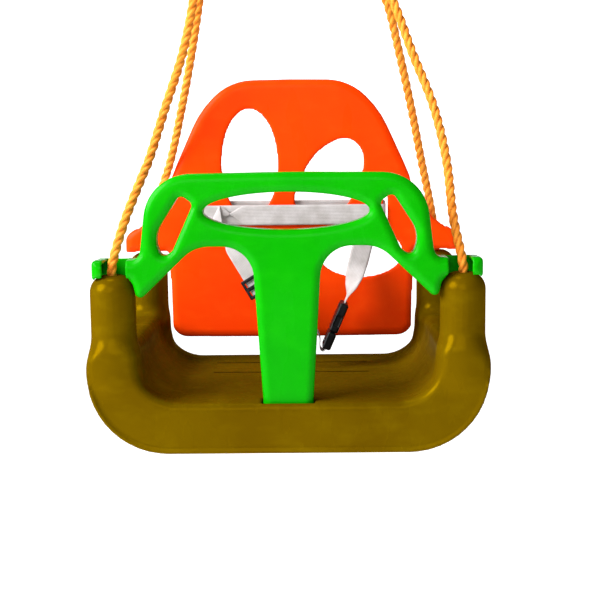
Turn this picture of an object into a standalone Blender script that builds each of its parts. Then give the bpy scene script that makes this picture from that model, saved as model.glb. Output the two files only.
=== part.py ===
"""Toddler bucket swing: a moulded bucket seat, a T-bar guard that lifts up the front ropes, a backrest
threaded on the rear ropes with a lap belt, and two ropes that hang from steel rings.

Metres, +Z up; the child looks towards -Y. The origin is midway between the two rings, level with the
place where a hook bears on them. Heights in the dimensions below are measured from the seat's underside,
and every piece below the rings is placed under empties that carry it down to there.
"""

import math

import bmesh
import bpy
from mathutils import Matrix, Vector

# ---------------------------------------------------------------- driving dimensions
WALL = 0.0035  # moulded plastic
GAP = 0.0003  # between pieces that touch

SEAT_HALF_WIDTH = 0.216
SEAT_HALF_DEPTH = 0.150
SEAT_CORNER = 0.086  # radius of the two lower corners
PAN_HEIGHT = 0.055
WALL_HEIGHT = 0.115  # the side walls between the towers
INNER_HALF_WIDTH = 0.165
INNER_CORNER = 0.047
SEAT_EDGE = 0.007  # rounding along the front and rear faces
LIP_HEIGHT = 0.005
LIP_PROUD = 0.0015

TOWER_RADIUS = 0.0245
TOWER_TOP = 0.193
DOME_HEIGHT = 0.020
TOWER_CEILING = 0.183
FRONT_TOWER = (0.189, -0.125)
REAR_TOWER = (0.184, 0.125)

GUARD_FRONT = -0.143  # Y of its front face
GUARD_DEPTH = 0.022
GUARD_EDGE = 0.004
GUARD_WALL = 0.003
POST_HALF_WIDTH = 0.0272
SOCKET_FLOOR = 0.0235
SOCKET_CLEARANCE = 0.0012
EAR_BOTTOM = 0.1935
EAR_BACK = -0.099
HOOK_INNER = 0.171
NOTCH_OUTER = 0.197
RIB_DEPTH = 0.010

BACK_FRONT = 0.100
BACK_DEPTH = 0.026
BACK_WALL = 0.004
BACK_EDGE = 0.005

ARM_BOTTOM = 0.1945
BELT_SLOT = 0.116  # from the middle to the near side of a belt slot
BELT_SLOT_WIDTH = 0.005

ROPE_RADIUS = 0.00525
ROPE_HOLE = 0.0068
ROPE_STEP = 0.016
THIMBLE_X = 0.097
THIMBLE_HEIGHT = 0.533
EYE_RADIUS = 0.014
GROOVE_RADIUS = 0.017
THIMBLE_RIM = 0.0205
THIMBLE_HALF_WIDTH = 0.006
ROPE_LEAN = math.radians(15)
RING_RADIUS = 0.021
RING_WIRE = 0.004
RING_SLACK = 0.002  # between a ring's wire and the thimble's eye

WEBBING_WIDTH = 0.025
WEBBING_THICKNESS = 0.0012
BELT_LOW = 0.228  # lower edge of the two front runs
BELT_RISE = 0.005  # the rear run lies this much higher
BUCKLE_TOP = Vector((0.0660, 0.062, 0.134))
BUCKLE_BOTTOM = Vector((0.0420, 0.062, 0.078))
BUCKLE_WIDTH = 0.034
BUCKLE_THICKNESS = 0.011
SOCKET_LENGTH = 0.038
SLIDER_AT = Vector((-0.0415, 0.0730, 0.1560))
SLIDER_WIDTH = 0.034
SLIDER_LENGTH = 0.026
SLIDER_THICKNESS = 0.003

ARC_STEPS = 6  # straight pieces in a quarter of a small rounded corner

# where the ropes, the rings and the origin lie
LEAN = Vector((math.sin(ROPE_LEAN), 0, math.cos(ROPE_LEAN)))  # up a left-hand rope plane
RING_REACH = EYE_RADIUS - RING_WIRE - RING_SLACK + RING_RADIUS
RING_X = THIMBLE_X - RING_REACH * LEAN.x
RING_HEIGHT = THIMBLE_HEIGHT + RING_REACH * LEAN.z
ORIGIN_HEIGHT = RING_HEIGHT + RING_RADIUS - RING_WIRE
PIVOT_HEIGHT = RING_HEIGHT - RING_RADIUS * LEAN.z

DROP = Vector((0, 0, ORIGIN_HEIGHT))

SIDES = {"left": -1, "right": 1}
TOWERS = {
    "front_left": (-FRONT_TOWER[0], FRONT_TOWER[1]),
    "front_right": FRONT_TOWER,
    "rear_left": (-REAR_TOWER[0], REAR_TOWER[1]),
    "rear_right": REAR_TOWER,
}

# the free stretches of the ropes, from the tower mouths up to the thimbles
STRANDS = {
    "front_left": [
        (-0.1775, -0.1105, 0.245),
        (-0.1585, -0.0950, 0.295),
        (-0.1510, -0.0890, 0.3135),
        (-0.1330, -0.0715, 0.372),
        (-0.1150, -0.0535, 0.430),
        (-0.1030, -0.0360, 0.490),
    ],
    "rear_left": [
        (-0.1745, 0.1195, 0.238),
        (-0.1610, 0.1095, 0.278),
        (-0.1492, 0.0985, 0.309),
        (-0.1308, 0.0740, 0.374),
        (-0.1160, 0.0535, 0.434),
        (-0.1030, 0.0341, 0.497),
    ],
    "front_right": [
        (0.1800, -0.1085, 0.250),
        (0.1745, -0.0900, 0.310),
        (0.1620, -0.0725, 0.3686),
        (0.1405, -0.0547, 0.427),
        (0.1190, -0.0363, 0.4876),
    ],
    "rear_right": [
        (0.1785, 0.1180, 0.238),
        (0.1632, 0.0970, 0.3055),
        (0.1483, 0.0740, 0.372),
        (0.1330, 0.0540, 0.434),
        (0.1160, 0.0352, 0.495),
    ],
}

# the lap belt's four straight lines
RIGHT_STRAP = Vector((-0.290, 0, -0.957))  # down from the right fold
LEFT_STRAP = Vector((0.5146, -0.1634, -0.8417))  # down from the left fold
BUCKLE_AXIS = (BUCKLE_TOP - BUCKLE_BOTTOM).normalized()

# ---------------------------------------------------------------- helpers
COLOURS = {  # colour, roughness, metallic
    "seat_plastic": ((0.26, 0.17, 0.005), 0.25, 0.0),
    "guard_plastic": ((0.03, 0.50, 0.01), 0.28, 0.0),
    "back_plastic": ((0.85, 0.07, 0.01), 0.30, 0.0),
    "rope_fibre": ((0.86, 0.33, 0.04), 0.60, 0.0),
    "webbing": ((0.62, 0.58, 0.57), 0.80, 0.0),
    "black_plastic": ((0.01, 0.01, 0.012), 0.35, 0.0),
    "steel": ((0.60, 0.60, 0.62), 0.25, 1.0),
    "thimble_plastic": ((0.05, 0.05, 0.05), 0.40, 0.0),
}


def clear_scene():
    for obj in list(bpy.data.objects):
        bpy.data.objects.remove(obj, do_unlink=True)


def collection(name):
    made = bpy.data.collections.new(name)
    bpy.context.scene.collection.children.link(made)
    return made


def material(name):
    if name in bpy.data.materials:
        return bpy.data.materials[name]
    colour, roughness, metallic = COLOURS[name]
    made = bpy.data.materials.new(name)
    made.use_nodes = True
    shader = made.node_tree.nodes["Principled BSDF"]
    shader.inputs["Base Color"].default_value = (*colour, 1)
    shader.inputs["Roughness"].default_value = roughness
    shader.inputs["Metallic"].default_value = metallic
    return made


def link(data, name):
    obj = bpy.data.objects.new(name, data)
    bpy.context.scene.collection.objects.link(obj)
    return obj


def to_mesh(obj, weld=0.00002):
    """The evaluated object as a new plain mesh object in world coordinates; the old one is removed."""
    depsgraph = bpy.context.evaluated_depsgraph_get()
    mesh = bpy.data.meshes.new_from_object(obj.evaluated_get(depsgraph))
    mesh.transform(obj.matrix_world)
    name = obj.name
    bpy.data.objects.remove(obj, do_unlink=True)
    bm = bmesh.new()
    bm.from_mesh(mesh)
    bmesh.ops.remove_doubles(bm, verts=bm.verts, dist=weld)
    bmesh.ops.dissolve_degenerate(bm, edges=bm.edges, dist=weld / 10)
    bm.to_mesh(mesh)
    bm.free()
    return link(mesh, name)


def boolean(target, tools, operation):
    """target with the tools added or cut away, as a plain mesh; the tools are removed."""
    for tool in tools:
        modifier = target.modifiers.new("shape", "BOOLEAN")
        modifier.operation = operation
        modifier.solver = "EXACT"
        modifier.object = tool
    bpy.context.view_layer.update()
    result = to_mesh(target, 0.00001)
    for tool in tools:
        bpy.data.objects.remove(tool, do_unlink=True)
    return result


def rounded(corners, steps=ARC_STEPS):
    """An outline from corners (x, z, radius), with each corner as an arc."""
    points = []
    for i, (x, z, radius) in enumerate(corners):
        here = Vector((x, z))
        before = (Vector(corners[i - 1][:2]) - here).normalized()
        after = (Vector(corners[(i + 1) % len(corners)][:2]) - here).normalized()
        if radius == 0:
            points.append(here)
            continue
        half = before.angle(after) / 2
        centre = here + (before + after).normalized() * radius / math.sin(half)
        start = here + before * radius / math.tan(half) - centre
        turn = math.pi - 2 * half
        if before.cross(after) > 0:
            turn = -turn
        count = max(2, round(steps * abs(turn) / (math.pi / 2)))
        for k in range(count + 1):
            spin = Matrix.Rotation(turn * k / count, 2)
            points.append(centre + spin @ start)
    return points


def mirrored(corners):
    """A half outline from its top middle round to its bottom middle, closed with its mirror image."""
    return corners + [(-x, z, radius) for x, z, radius in reversed(corners)]


def ellipse(x, z, half_x, half_z, count=28):
    turns = [2 * math.pi * k / count for k in range(count)]
    return [Vector((x + half_x * math.cos(a), z + half_z * math.sin(a))) for a in turns]


def smooth_line(points, step, closed=False):
    """Points every step along a smooth curve through the given ones."""
    points = [Vector(p) for p in points]
    if closed:
        padded = [points[-1], *points, points[0], points[1]]
    else:
        padded = [2 * points[0] - points[1], *points, 2 * points[-1] - points[-2]]
    fine = []
    for p0, p1, p2, p3 in zip(padded, padded[1:], padded[2:], padded[3:]):
        t1 = (p1 - p0).length ** 0.5
        t2 = t1 + (p2 - p1).length ** 0.5
        t3 = t2 + (p3 - p2).length ** 0.5
        for k in range(24):
            t = t1 + (t2 - t1) * k / 24
            a1 = p0.lerp(p1, t / t1)
            a2 = p1.lerp(p2, (t - t1) / (t2 - t1))
            a3 = p2.lerp(p3, (t - t2) / (t3 - t2))
            b1 = a1.lerp(a2, t / t2)
            b2 = a2.lerp(a3, (t - t1) / (t3 - t1))
            fine.append(b1.lerp(b2, (t - t1) / (t2 - t1)))
    fine.append(padded[-2].copy())
    along = [0.0]
    for a, b in zip(fine, fine[1:]):
        along.append(along[-1] + (b - a).length)
    count = round(along[-1] / step)
    line, i = [], 0
    for k in range(count + 1):
        want = along[-1] * k / count
        while i < len(along) - 2 and along[i + 1] < want:
            i += 1
        span = max(along[i + 1] - along[i], 1e-9)
        line.append(fine[i].lerp(fine[i + 1], (want - along[i]) / span))
    return line[:-1] if closed else line


def extruded(name, outlines, y_front, y_back, edge=0.0, inset=0.0):
    """A solid between two Y planes; the first outline holds the others as holes."""
    curve = bpy.data.curves.new(name, "CURVE")
    curve.dimensions = "2D"
    curve.fill_mode = "BOTH"
    curve.extrude = (y_back - y_front) / 2 - edge
    curve.bevel_depth = edge
    curve.offset = -edge - inset
    curve.bevel_resolution = 1
    for outline in outlines:
        spline = curve.splines.new("POLY")
        spline.points.add(len(outline) - 1)
        spline.use_cyclic_u = True
        for point, (x, z) in zip(spline.points, outline):
            point.co = (x, z, 0, 1)
    obj = link(curve, name)
    obj.rotation_euler = (math.pi / 2, 0, 0)
    obj.location.y = (y_front + y_back) / 2
    bpy.context.view_layer.update()
    return to_mesh(obj)


def plate(name, outline, y_front, y_back, edge=0.0):
    """A solid plate of one outline between two Y planes."""
    return extruded(name, [outline], y_front, y_back, edge)


def tray(name, outlines, y_front, depth, edge, wall):
    """A moulded tray: a front wall of the given outline and holes, a flange round each, open behind."""
    y_back = y_front + depth
    solid = extruded(name, outlines, y_front, y_back + 2 * edge, edge)
    inside = extruded("inside", outlines, y_front + wall, y_back + 0.05, inset=wall)
    behind = box("behind", (-1, y_back, -1), (1, y_back + 0.03, 1))
    return boolean(solid, [behind, inside], "DIFFERENCE")


def box(name, low, high):
    """A box between two corners."""
    mesh = bpy.data.meshes.new(name)
    bm = bmesh.new()
    bmesh.ops.create_cube(bm, size=1)
    size = Vector(high) - Vector(low)
    bmesh.ops.scale(bm, vec=size, verts=bm.verts)
    bmesh.ops.translate(bm, vec=(Vector(low) + Vector(high)) / 2, verts=bm.verts)
    bm.to_mesh(mesh)
    bm.free()
    return link(mesh, name)


def turned(name, profile, steps, closed=False):
    """A profile of (radius, height) points, top to bottom, turned about Z."""
    mesh = bpy.data.meshes.new(name)
    edges = [(i, i + 1) for i in range(len(profile) - 1)]
    if closed:
        edges.append((len(profile) - 1, 0))
    mesh.from_pydata([(r, 0, z) for r, z in profile], edges, [])
    obj = link(mesh, name)
    screw = obj.modifiers.new("turn", "SCREW")
    screw.steps = steps
    screw.render_steps = steps
    screw.use_merge_vertices = True
    screw.merge_threshold = 0.00005
    bpy.context.view_layer.update()
    return to_mesh(obj)


def ribbon(name, sections, thickness):
    """A strap lofted through pairs of edge points (one edge, other edge)."""
    pairs = [(Vector(a), Vector(b)) for a, b in sections]
    middles = [(a + b) / 2 for a, b in pairs]
    mesh = bpy.data.meshes.new(name)
    bm = bmesh.new()
    rings = []
    for i, (a, b) in enumerate(pairs):
        ahead = middles[min(i + 1, len(pairs) - 1)] - middles[max(i - 1, 0)]
        normal = (b - a).cross(ahead).normalized() * thickness / 2
        rings.append([bm.verts.new(p) for p in (a + normal, b + normal, b - normal, a - normal)])
    for one, two in zip(rings, rings[1:]):
        for k in range(4):
            n = (k + 1) % 4
            bm.faces.new((one[k], one[n], two[n], two[k]))
    bm.faces.new(reversed(rings[0]))
    bm.faces.new(rings[-1])
    bmesh.ops.recalc_face_normals(bm, faces=bm.faces)
    bm.to_mesh(mesh)
    bm.free()
    return link(mesh, name)


def finish(obj, name, colour, parent):
    """Names a piece, gives it its material, and hangs it on the empty that carries it."""
    obj.name = name
    obj.data.name = name
    obj.data.materials.clear()
    obj.data.materials.append(material(colour))
    obj.data.shade_smooth()
    obj.data.set_sharp_from_angle(angle=math.radians(35))
    obj.data.transform(Matrix.Translation(-DROP - parent.matrix_world.translation))
    obj.parent = parent
    for holder in list(obj.users_collection):
        holder.objects.unlink(obj)
    parts.objects.link(obj)


def carrier(name, point, parent=None):
    """An empty on a joint's axis, at a point given from the seat's underside."""
    empty = bpy.data.objects.new(name, None)
    empty.empty_display_size = 0.03
    parts.objects.link(empty)
    empty.location = Vector(point) - DROP
    if parent:
        empty.location -= parent.matrix_world.translation
        empty.parent = parent
    bpy.context.view_layer.update()
    return empty


# ---------------------------------------------------------------- the seat
def tower(name, x, y):
    """A corner tower, as a solid; its foot is buried in the side wall."""
    shoulder = TOWER_TOP - DOME_HEIGHT
    dome = [
        (TOWER_RADIUS * math.sin(a), shoulder + DOME_HEIGHT * math.cos(a))
        for a in [math.radians(15 * k) for k in range(7)]
    ]
    foot = PAN_HEIGHT + 0.015
    made = turned(name, dome + [(TOWER_RADIUS, foot), (0, foot)], 20)
    made.data.transform(Matrix.Translation((x, y, 0)))
    return made


def tower_hollow(name, x, y):
    """The hollow of a tower: open below, with a flat ceiling for the washer and the rope's hole above."""
    ceiling_radius = 0.0165
    inner = TOWER_RADIUS - WALL
    foot = WALL_HEIGHT - 0.025
    profile = [
        (0, TOWER_TOP + 0.01),
        (ROPE_HOLE, TOWER_TOP + 0.01),
        (ROPE_HOLE, TOWER_CEILING),
        (ceiling_radius, TOWER_CEILING),
        (ceiling_radius, TOWER_CEILING - 0.006),
        (inner, TOWER_CEILING - 0.012),
        (inner, foot),
        (0, foot),
    ]
    made = turned(name, profile, 20)
    made.data.transform(Matrix.Translation((x, y, 0)))
    return made


def seat_shell():
    """A trough moulded in one skin, with end walls down to a lip and a hollow tower at each corner."""
    w, iw, top = SEAT_HALF_WIDTH, INNER_HALF_WIDTH, WALL_HEIGHT
    trough = rounded(
        [
            (-w, 0, SEAT_CORNER),
            (w, 0, SEAT_CORNER),
            (w, top, 0.010),
            (iw, top, 0.010),
            (iw, PAN_HEIGHT, INNER_CORNER),
            (-iw, PAN_HEIGHT, INNER_CORNER),
            (-iw, top, 0.010),
            (-w, top, 0.010),
        ]
    )
    depth = SEAT_HALF_DEPTH
    shell = plate("seat_shell", trough, -depth, depth, SEAT_EDGE)

    lip_top = SEAT_CORNER + 0.004
    h = LIP_HEIGHT
    lip = rounded(
        [
            (-w, lip_top, 0),
            (-w, 0, SEAT_CORNER),
            (w, 0, SEAT_CORNER),
            (w, lip_top, 0),
            (w - h, lip_top, 0),
            (w - h, h, SEAT_CORNER - h),
            (-w + h, h, SEAT_CORNER - h),
            (-w + h, lip_top, 0),
        ]
    )
    additions = [plate("lip", lip, -depth - LIP_PROUD, depth + LIP_PROUD)]
    additions += [tower("tower_" + name, x, y) for name, (x, y) in TOWERS.items()]
    shell = boolean(shell, additions, "UNION")

    t = WALL
    low = -0.02
    core = rounded(
        [
            (-w + t, low, 0),
            (w - t, low, 0),
            (w - t, top - t, 0.0065),
            (iw + t, top - t, 0.0065),
            (iw + t, PAN_HEIGHT - t, INNER_CORNER + t),
            (-iw - t, PAN_HEIGHT - t, INNER_CORNER + t),
            (-iw - t, top - t, 0.0065),
            (-w + t, top - t, 0.0065),
        ]
    )
    hollows = [plate("core", core, -depth + t, depth - t)]
    hollows += [tower_hollow("hollow_" + name, x, y) for name, (x, y) in TOWERS.items()]
    shell = boolean(shell, hollows, "DIFFERENCE")

    slot_x = POST_HALF_WIDTH + SOCKET_CLEARANCE
    slot_front = GUARD_FRONT - SOCKET_CLEARANCE
    slot_back = GUARD_FRONT + GUARD_DEPTH + SOCKET_CLEARANCE
    socket_low = SOCKET_FLOOR - t
    under = PAN_HEIGHT - t / 2
    ribs = [
        box(
            "socket",
            (-slot_x - t, -depth + t / 2, socket_low),
            (slot_x + t, slot_back + t, under),
        )
    ]
    rib_low, rib_half = PAN_HEIGHT - t - RIB_DEPTH, 0.0015
    for y in (-0.05, 0.05):
        ribs.append(box("rib", (-0.12, y - rib_half, rib_low), (0.12, y + rib_half, under)))
    for x in (-0.07, 0.07):
        ribs.append(
            box("rib", (x - rib_half, -depth + t / 2, rib_low), (x + rib_half, depth - t / 2, under))
        )
    shell = boolean(shell, ribs, "UNION")
    slot = box(
        "slot", (-slot_x, slot_front, SOCKET_FLOOR), (slot_x, slot_back, PAN_HEIGHT + 0.01)
    )
    return boolean(shell, [slot], "DIFFERENCE")


# ---------------------------------------------------------------- the guard
def guard_outlines():
    """The T-bar's outline, the hand hole and the two side slots."""
    half = [
        (0, 0.3015, 0),
        (0.100, 0.3005, 0.08),
        (0.1465, 0.2985, 0.050),
        (0.1577, 0.2080, 0.010),
        (0.1685, 0.2080, 0),
        (0.1685, 0.1942, 0),
        (0.1650, 0.1840, 0.008),
        (0.1605, 0.1640, 0.0055),
        (0.0985, 0.2230, 0.038),
        (0.0375, 0.2240, 0.034),
        (POST_HALF_WIDTH, PAN_HEIGHT, 0),
        (POST_HALF_WIDTH, SOCKET_FLOOR + GAP, 0),
    ]
    body = rounded(mirrored(half))
    body = [p for p, q in zip(body, body[1:] + body[:1]) if (p - q).length > 0.0001]
    hand_hole = ellipse(0, 0.2605, 0.0885, 0.0200)
    slot = [
        (0.1130, 0.2790, 0.006),
        (0.1420, 0.2340, 0.030),
        (0.1330, 0.2100, 0.006),
        (0.1215, 0.2195, 0.006),
        (0.0990, 0.2690, 0.006),
    ]
    slots = [rounded([(side * x, z, r) for x, z, r in slot]) for side in SIDES.values()]
    return [body, hand_hole, *slots]


def guard_bar():
    """A tray moulding with its post standing in the seat's socket and a hook round each front rope."""
    bar = tray("guard_bar", guard_outlines(), GUARD_FRONT, GUARD_DEPTH, GUARD_EDGE, GUARD_WALL)
    hooks, cuts = [], []
    for side in SIDES.values():
        outline = [
            (0.158, EAR_BOTTOM, 0),
            (0.2085, EAR_BOTTOM, 0),
            (0.2085, 0.2085, 0.008),
            (0.158, 0.2085, 0),
        ]
        outline = rounded([(side * x, z, r) for x, z, r in outline])
        hooks.append(plate("hook", outline, GUARD_FRONT + GUARD_WALL / 2, EAR_BACK))
        inner, outer = HOOK_INNER * side, 0.2055 * side
        roof = 0.2085 - WALL + 0.0005
        notch = NOTCH_OUTER * side
        cuts.append(
            box(
                "hook_hollow",
                (min(inner, outer), GUARD_FRONT - 0.01, EAR_BOTTOM - 0.01),
                (max(inner, outer), EAR_BACK - WALL, roof),
            )
        )
        cuts.append(
            box(
                "notch",
                (min(inner, notch), GUARD_FRONT - 0.01, EAR_BOTTOM - 0.01),
                (max(inner, notch), EAR_BACK - WALL, 0.22),
            )
        )
    bar = boolean(bar, hooks, "UNION")
    return boolean(bar, cuts, "DIFFERENCE")


# ---------------------------------------------------------------- the backrest
def backrest_outlines():
    """The backrest's outline with its arms, its three large holes and the two belt slots."""
    half = [
        (0, 0.4080, 0),
        (0.0740, 0.4070, 0.070),
        (0.1120, 0.3700, 0.120),
        (0.1420, 0.3050, 0.200),
        (0.1670, 0.2450, 0.090),
        (0.2090, 0.2150, 0.014),
        (0.2090, ARM_BOTTOM, 0),
        (0.1555, ARM_BOTTOM, 0.004),
        (0.1525, 0.0860, 0.020),
        (0, 0.0850, 0),
    ]
    body = rounded(mirrored(half))
    body = [p for p, q in zip(body, body[1:] + body[:1]) if (p - q).length > 0.0001]
    tall_hole = ellipse(-0.0505, 0.3045, 0.0340, 0.0665)
    leaf = [
        (0.0065, 0.2570),
        (0.0180, 0.2930),
        (0.0385, 0.3200),
        (0.0690, 0.3340),
        (0.0860, 0.3235),
        (0.0905, 0.3020),
        (0.0700, 0.2530),
        (0.0510, 0.2350),
        (0.0230, 0.2340),
    ]
    leaf_hole = [Vector(p) for p in smooth_line(leaf, 0.010, closed=True)]
    low_hole = ellipse(0.0870, 0.1920, 0.0520, 0.0300, 24)
    slots = []
    for side in SIDES.values():
        x0, x1 = side * BELT_SLOT, side * (BELT_SLOT + BELT_SLOT_WIDTH)
        slots.append([Vector(p) for p in ((x0, 0.2275), (x1, 0.2275), (x1, 0.2625), (x0, 0.2625))])
    return [body, tall_hole, leaf_hole, low_hole], slots


def backrest():
    """A tray moulding between the rear towers, with arms over the towers and the rear ropes behind them."""
    (body, *holes), slots = backrest_outlines()
    back = tray("backrest", [body], BACK_FRONT, BACK_DEPTH, BACK_EDGE, BACK_WALL)
    front, behind = BACK_FRONT - 0.01, BACK_FRONT + 0.015
    cuts = [plate("hole", outline, front, behind) for outline in holes + slots]
    for side in SIDES.values():
        near, far = side * 0.150, side * 0.196
        cuts.append(
            box(
                "rope_way",
                (min(near, far), BACK_FRONT + BACK_WALL + GAP, 0.18),
                (max(near, far), BACK_FRONT + BACK_DEPTH + 0.01, 0.288),
            )
        )
    return boolean(back, cuts, "DIFFERENCE")


# ---------------------------------------------------------------- ropes and what holds them
def thimble_centre(side):
    return Vector((side * THIMBLE_X, 0, THIMBLE_HEIGHT))


def lean(side):
    """The direction up a side's rope plane."""
    return Vector((-side * LEAN.x, 0, LEAN.z))


def rope_line(side_name):
    """A side's rope from the front tower's ceiling, over the thimble, to the rear tower's ceiling."""
    side = SIDES[side_name]
    strands = []
    for end in ("front_", "rear_"):
        x, y = TOWERS[end + side_name]
        start = TOWER_CEILING - 0.0017
        foot = [(x, y, start), (x, y, start + 0.009), (x, y, TOWER_TOP + 0.007)]
        strands.append(foot + STRANDS[end + side_name])
    radius = GROOVE_RADIUS + ROPE_RADIUS
    first, count = math.radians(16.6), 12
    arc = []
    for k in range(count + 1):
        turn = first + (math.pi - 2 * first) * k / count
        level = Vector((0, -math.cos(turn), 0)) * radius
        arc.append(thimble_centre(side) + level + lean(side) * math.sin(turn) * radius)
    for strand, first, second in ((strands[0], arc[0], arc[1]), (strands[1], arc[-1], arc[-2])):
        straight = (first - second).normalized()
        strand += [first + straight * 0.016, first + straight * 0.008, first]
    front = smooth_line(strands[0], ROPE_STEP)
    rear = smooth_line(strands[1], ROPE_STEP)
    return front + arc[1:-1] + rear[::-1]


def rope(side_name):
    """The rope is one long tube; its ends are the knots under the towers' ceilings."""
    curve = bpy.data.curves.new("rope_" + side_name, "CURVE")
    curve.dimensions = "3D"
    curve.bevel_depth = ROPE_RADIUS
    curve.bevel_resolution = 2
    curve.use_fill_caps = True
    line = rope_line(side_name)
    spline = curve.splines.new("POLY")
    spline.points.add(len(line) - 1)
    for point, place in zip(spline.points, line):
        point.co = (*place, 1)
    return to_mesh(link(curve, "rope_" + side_name))


def knot(x, y):
    """The stopper knot at a rope's end, as one lump."""
    top, bottom, radius = TOWER_CEILING - 0.0020, 0.158, 0.0125
    middle, half = (top + bottom) / 2, (top - bottom) / 2
    profile = []
    for k in range(9):
        turn = math.pi * k / 8
        profile.append((radius * math.sin(turn), middle + half * math.cos(turn)))
    made = turned("knot", profile, 16)
    made.data.transform(Matrix.Translation((x, y, 0)))
    return made


def washer(x, y):
    top, bottom = TOWER_CEILING - GAP, TOWER_CEILING - 0.0015
    profile = [(0.006, top), (0.0155, top), (0.0155, bottom), (0.006, bottom)]
    made = turned("washer", profile, 24, closed=True)
    made.data.transform(Matrix.Translation((x, y, 0)))
    return made


def thimble(side):
    """The grooved collar that keeps a rope's bight open round its ring."""
    rope_at, groove = GROOVE_RADIUS + ROPE_RADIUS, ROPE_RADIUS + 0.0004
    half = THIMBLE_HALF_WIDTH
    mouth = math.acos((rope_at - THIMBLE_RIM) / groove)
    profile = [(EYE_RADIUS, half), (THIMBLE_RIM, half)]
    for k in range(7):
        turn = mouth * (1 - k / 3)
        profile.append((rope_at - groove * math.cos(turn), groove * math.sin(turn)))
    profile += [(THIMBLE_RIM, -half), (EYE_RADIUS, -half)]
    made = turned("thimble", profile, 24, closed=True)
    across = Vector((LEAN.z, 0, side * LEAN.x))
    turn = Matrix((across.cross(Vector((0, 1, 0))), (0, 1, 0), across)).transposed()
    if turn.determinant() < 0:
        turn.col[0] = -turn.col[0]
    made.data.transform(Matrix.Translation(thimble_centre(side)) @ turn.to_4x4())
    return made


def ring(side):
    """A welded steel ring that stands in the plane of the two rings and hangs from a hook."""
    bpy.ops.mesh.primitive_torus_add(
        major_segments=28,
        minor_segments=10,
        major_radius=RING_RADIUS,
        minor_radius=RING_WIRE,
        location=(side * RING_X, 0, RING_HEIGHT),
        rotation=(math.pi / 2, 0, 0),
    )
    return to_mesh(bpy.context.object)


# ---------------------------------------------------------------- the lap belt
def across(centre, direction, facing=(0, -1, 0)):
    """A strap's two edges at a point: left and right of its line of travel, seen from its facing side."""
    side = Vector(direction).cross(Vector(facing)).normalized() * WEBBING_WIDTH / 2
    return Vector(centre) - side, Vector(centre) + side


def fold(centre, arriving, leaving, y_first, y_last):
    """Sections through a flat fold: the strap arrives in one plane and leaves in another before it."""
    arriving, leaving = Vector(arriving).normalized(), Vector(leaving).normalized()
    line = (arriving + leaving).normalized()
    reach = WEBBING_WIDTH / 2 / math.sqrt(1 - arriving.dot(line) ** 2)
    ends = [Vector(centre) - line * reach, Vector(centre) + line * reach]
    if (ends[1] - ends[0]).cross(arriving).y > 0:
        ends.reverse()
    middle, room = (y_first + y_last) / 2, 0.003
    sections = []
    for shift, y in ((-arriving * room, y_first), (Vector(), middle), (leaving * room, y_last)):
        sections.append([Vector((p.x, y, p.z)) + Vector((shift.x, 0, shift.z)) for p in ends])
    return sections


def belt_webbing():
    """The belt from the buckle's socket, through the backrest and back, down to the slider."""
    top = BELT_LOW + WEBBING_WIDTH
    slot = BELT_SLOT + BELT_SLOT_WIDTH / 2
    middle = BELT_LOW + WEBBING_WIDTH / 2
    behind_right, inner, outer, before_left = 0.0985, 0.0965, 0.0935, 0.0915
    rear = BACK_FRONT + BACK_WALL + 0.0035

    start = BUCKLE_TOP + BUCKLE_AXIS * 0.0006
    sections = [across(start, BUCKLE_AXIS, (-1, 0, 0))]
    sections.append(across(start + BUCKLE_AXIS * 0.008, BUCKLE_AXIS, (-1, 0, 0)))
    sections.append(across((0.0735, 0.066, 0.153), -RIGHT_STRAP, (-0.87, -0.5, 0)))
    sections.append(across((0.0790, 0.072, 0.168), -RIGHT_STRAP, (-0.5, -0.87, 0)))
    sections.append(across((0.0840, 0.080, 0.184), -RIGHT_STRAP))
    sections.append(across((0.0910, 0.092, 0.2085), -RIGHT_STRAP))
    sections += fold((0.1005, 0, middle), -RIGHT_STRAP, (-1, 0, 0), behind_right, inner)
    for x, y in ((0.060, inner), (0.0, inner), (-0.060, inner), (-0.112, inner)):
        sections.append([(x, y, top), (x, y, BELT_LOW)])
    high, low = top + BELT_RISE, BELT_LOW + BELT_RISE
    sections.append([(-slot + 0.0012, inner + 0.0012, top), (-slot + 0.0012, inner + 0.0012, BELT_LOW)])
    sections.append([(-slot, inner + 0.0035, top), (-slot, inner + 0.0035, BELT_LOW)])
    sections.append([(-slot, rear - 0.0022, high - 0.001), (-slot, rear - 0.0022, low - 0.001)])
    sections.append([(-slot + 0.0016, rear - 0.0006, high), (-slot + 0.0016, rear - 0.0006, low)])
    for x in (-slot + 0.005, -0.05, 0.05, slot - 0.005):
        sections.append([(x, rear, high), (x, rear, low)])
    sections.append([(slot - 0.0016, rear - 0.0006, high), (slot - 0.0016, rear - 0.0006, low)])
    sections.append([(slot, rear - 0.0022, high - 0.001), (slot, rear - 0.0022, low - 0.001)])
    sections.append([(slot, inner + 0.0035, top), (slot, inner + 0.0035, BELT_LOW)])
    sections.append([(slot - 0.0016, outer + 0.0010, top), (slot - 0.0016, outer + 0.0010, BELT_LOW)])
    for x in (slot - 0.006, 0.060, 0.0, -0.060):
        sections.append([(x, outer, top), (x, outer, BELT_LOW)])
    flat = Vector((LEFT_STRAP.x, 0, LEFT_STRAP.z))
    sections += fold((-0.096, 0, middle), (-1, 0, 0), flat, outer, before_left)
    for back_up in (0.056, 0.040, 0.020, 0.0003):
        sections.append(across(SLIDER_AT - LEFT_STRAP * back_up, LEFT_STRAP))
    return ribbon("belt_webbing", sections, WEBBING_THICKNESS)


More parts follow.
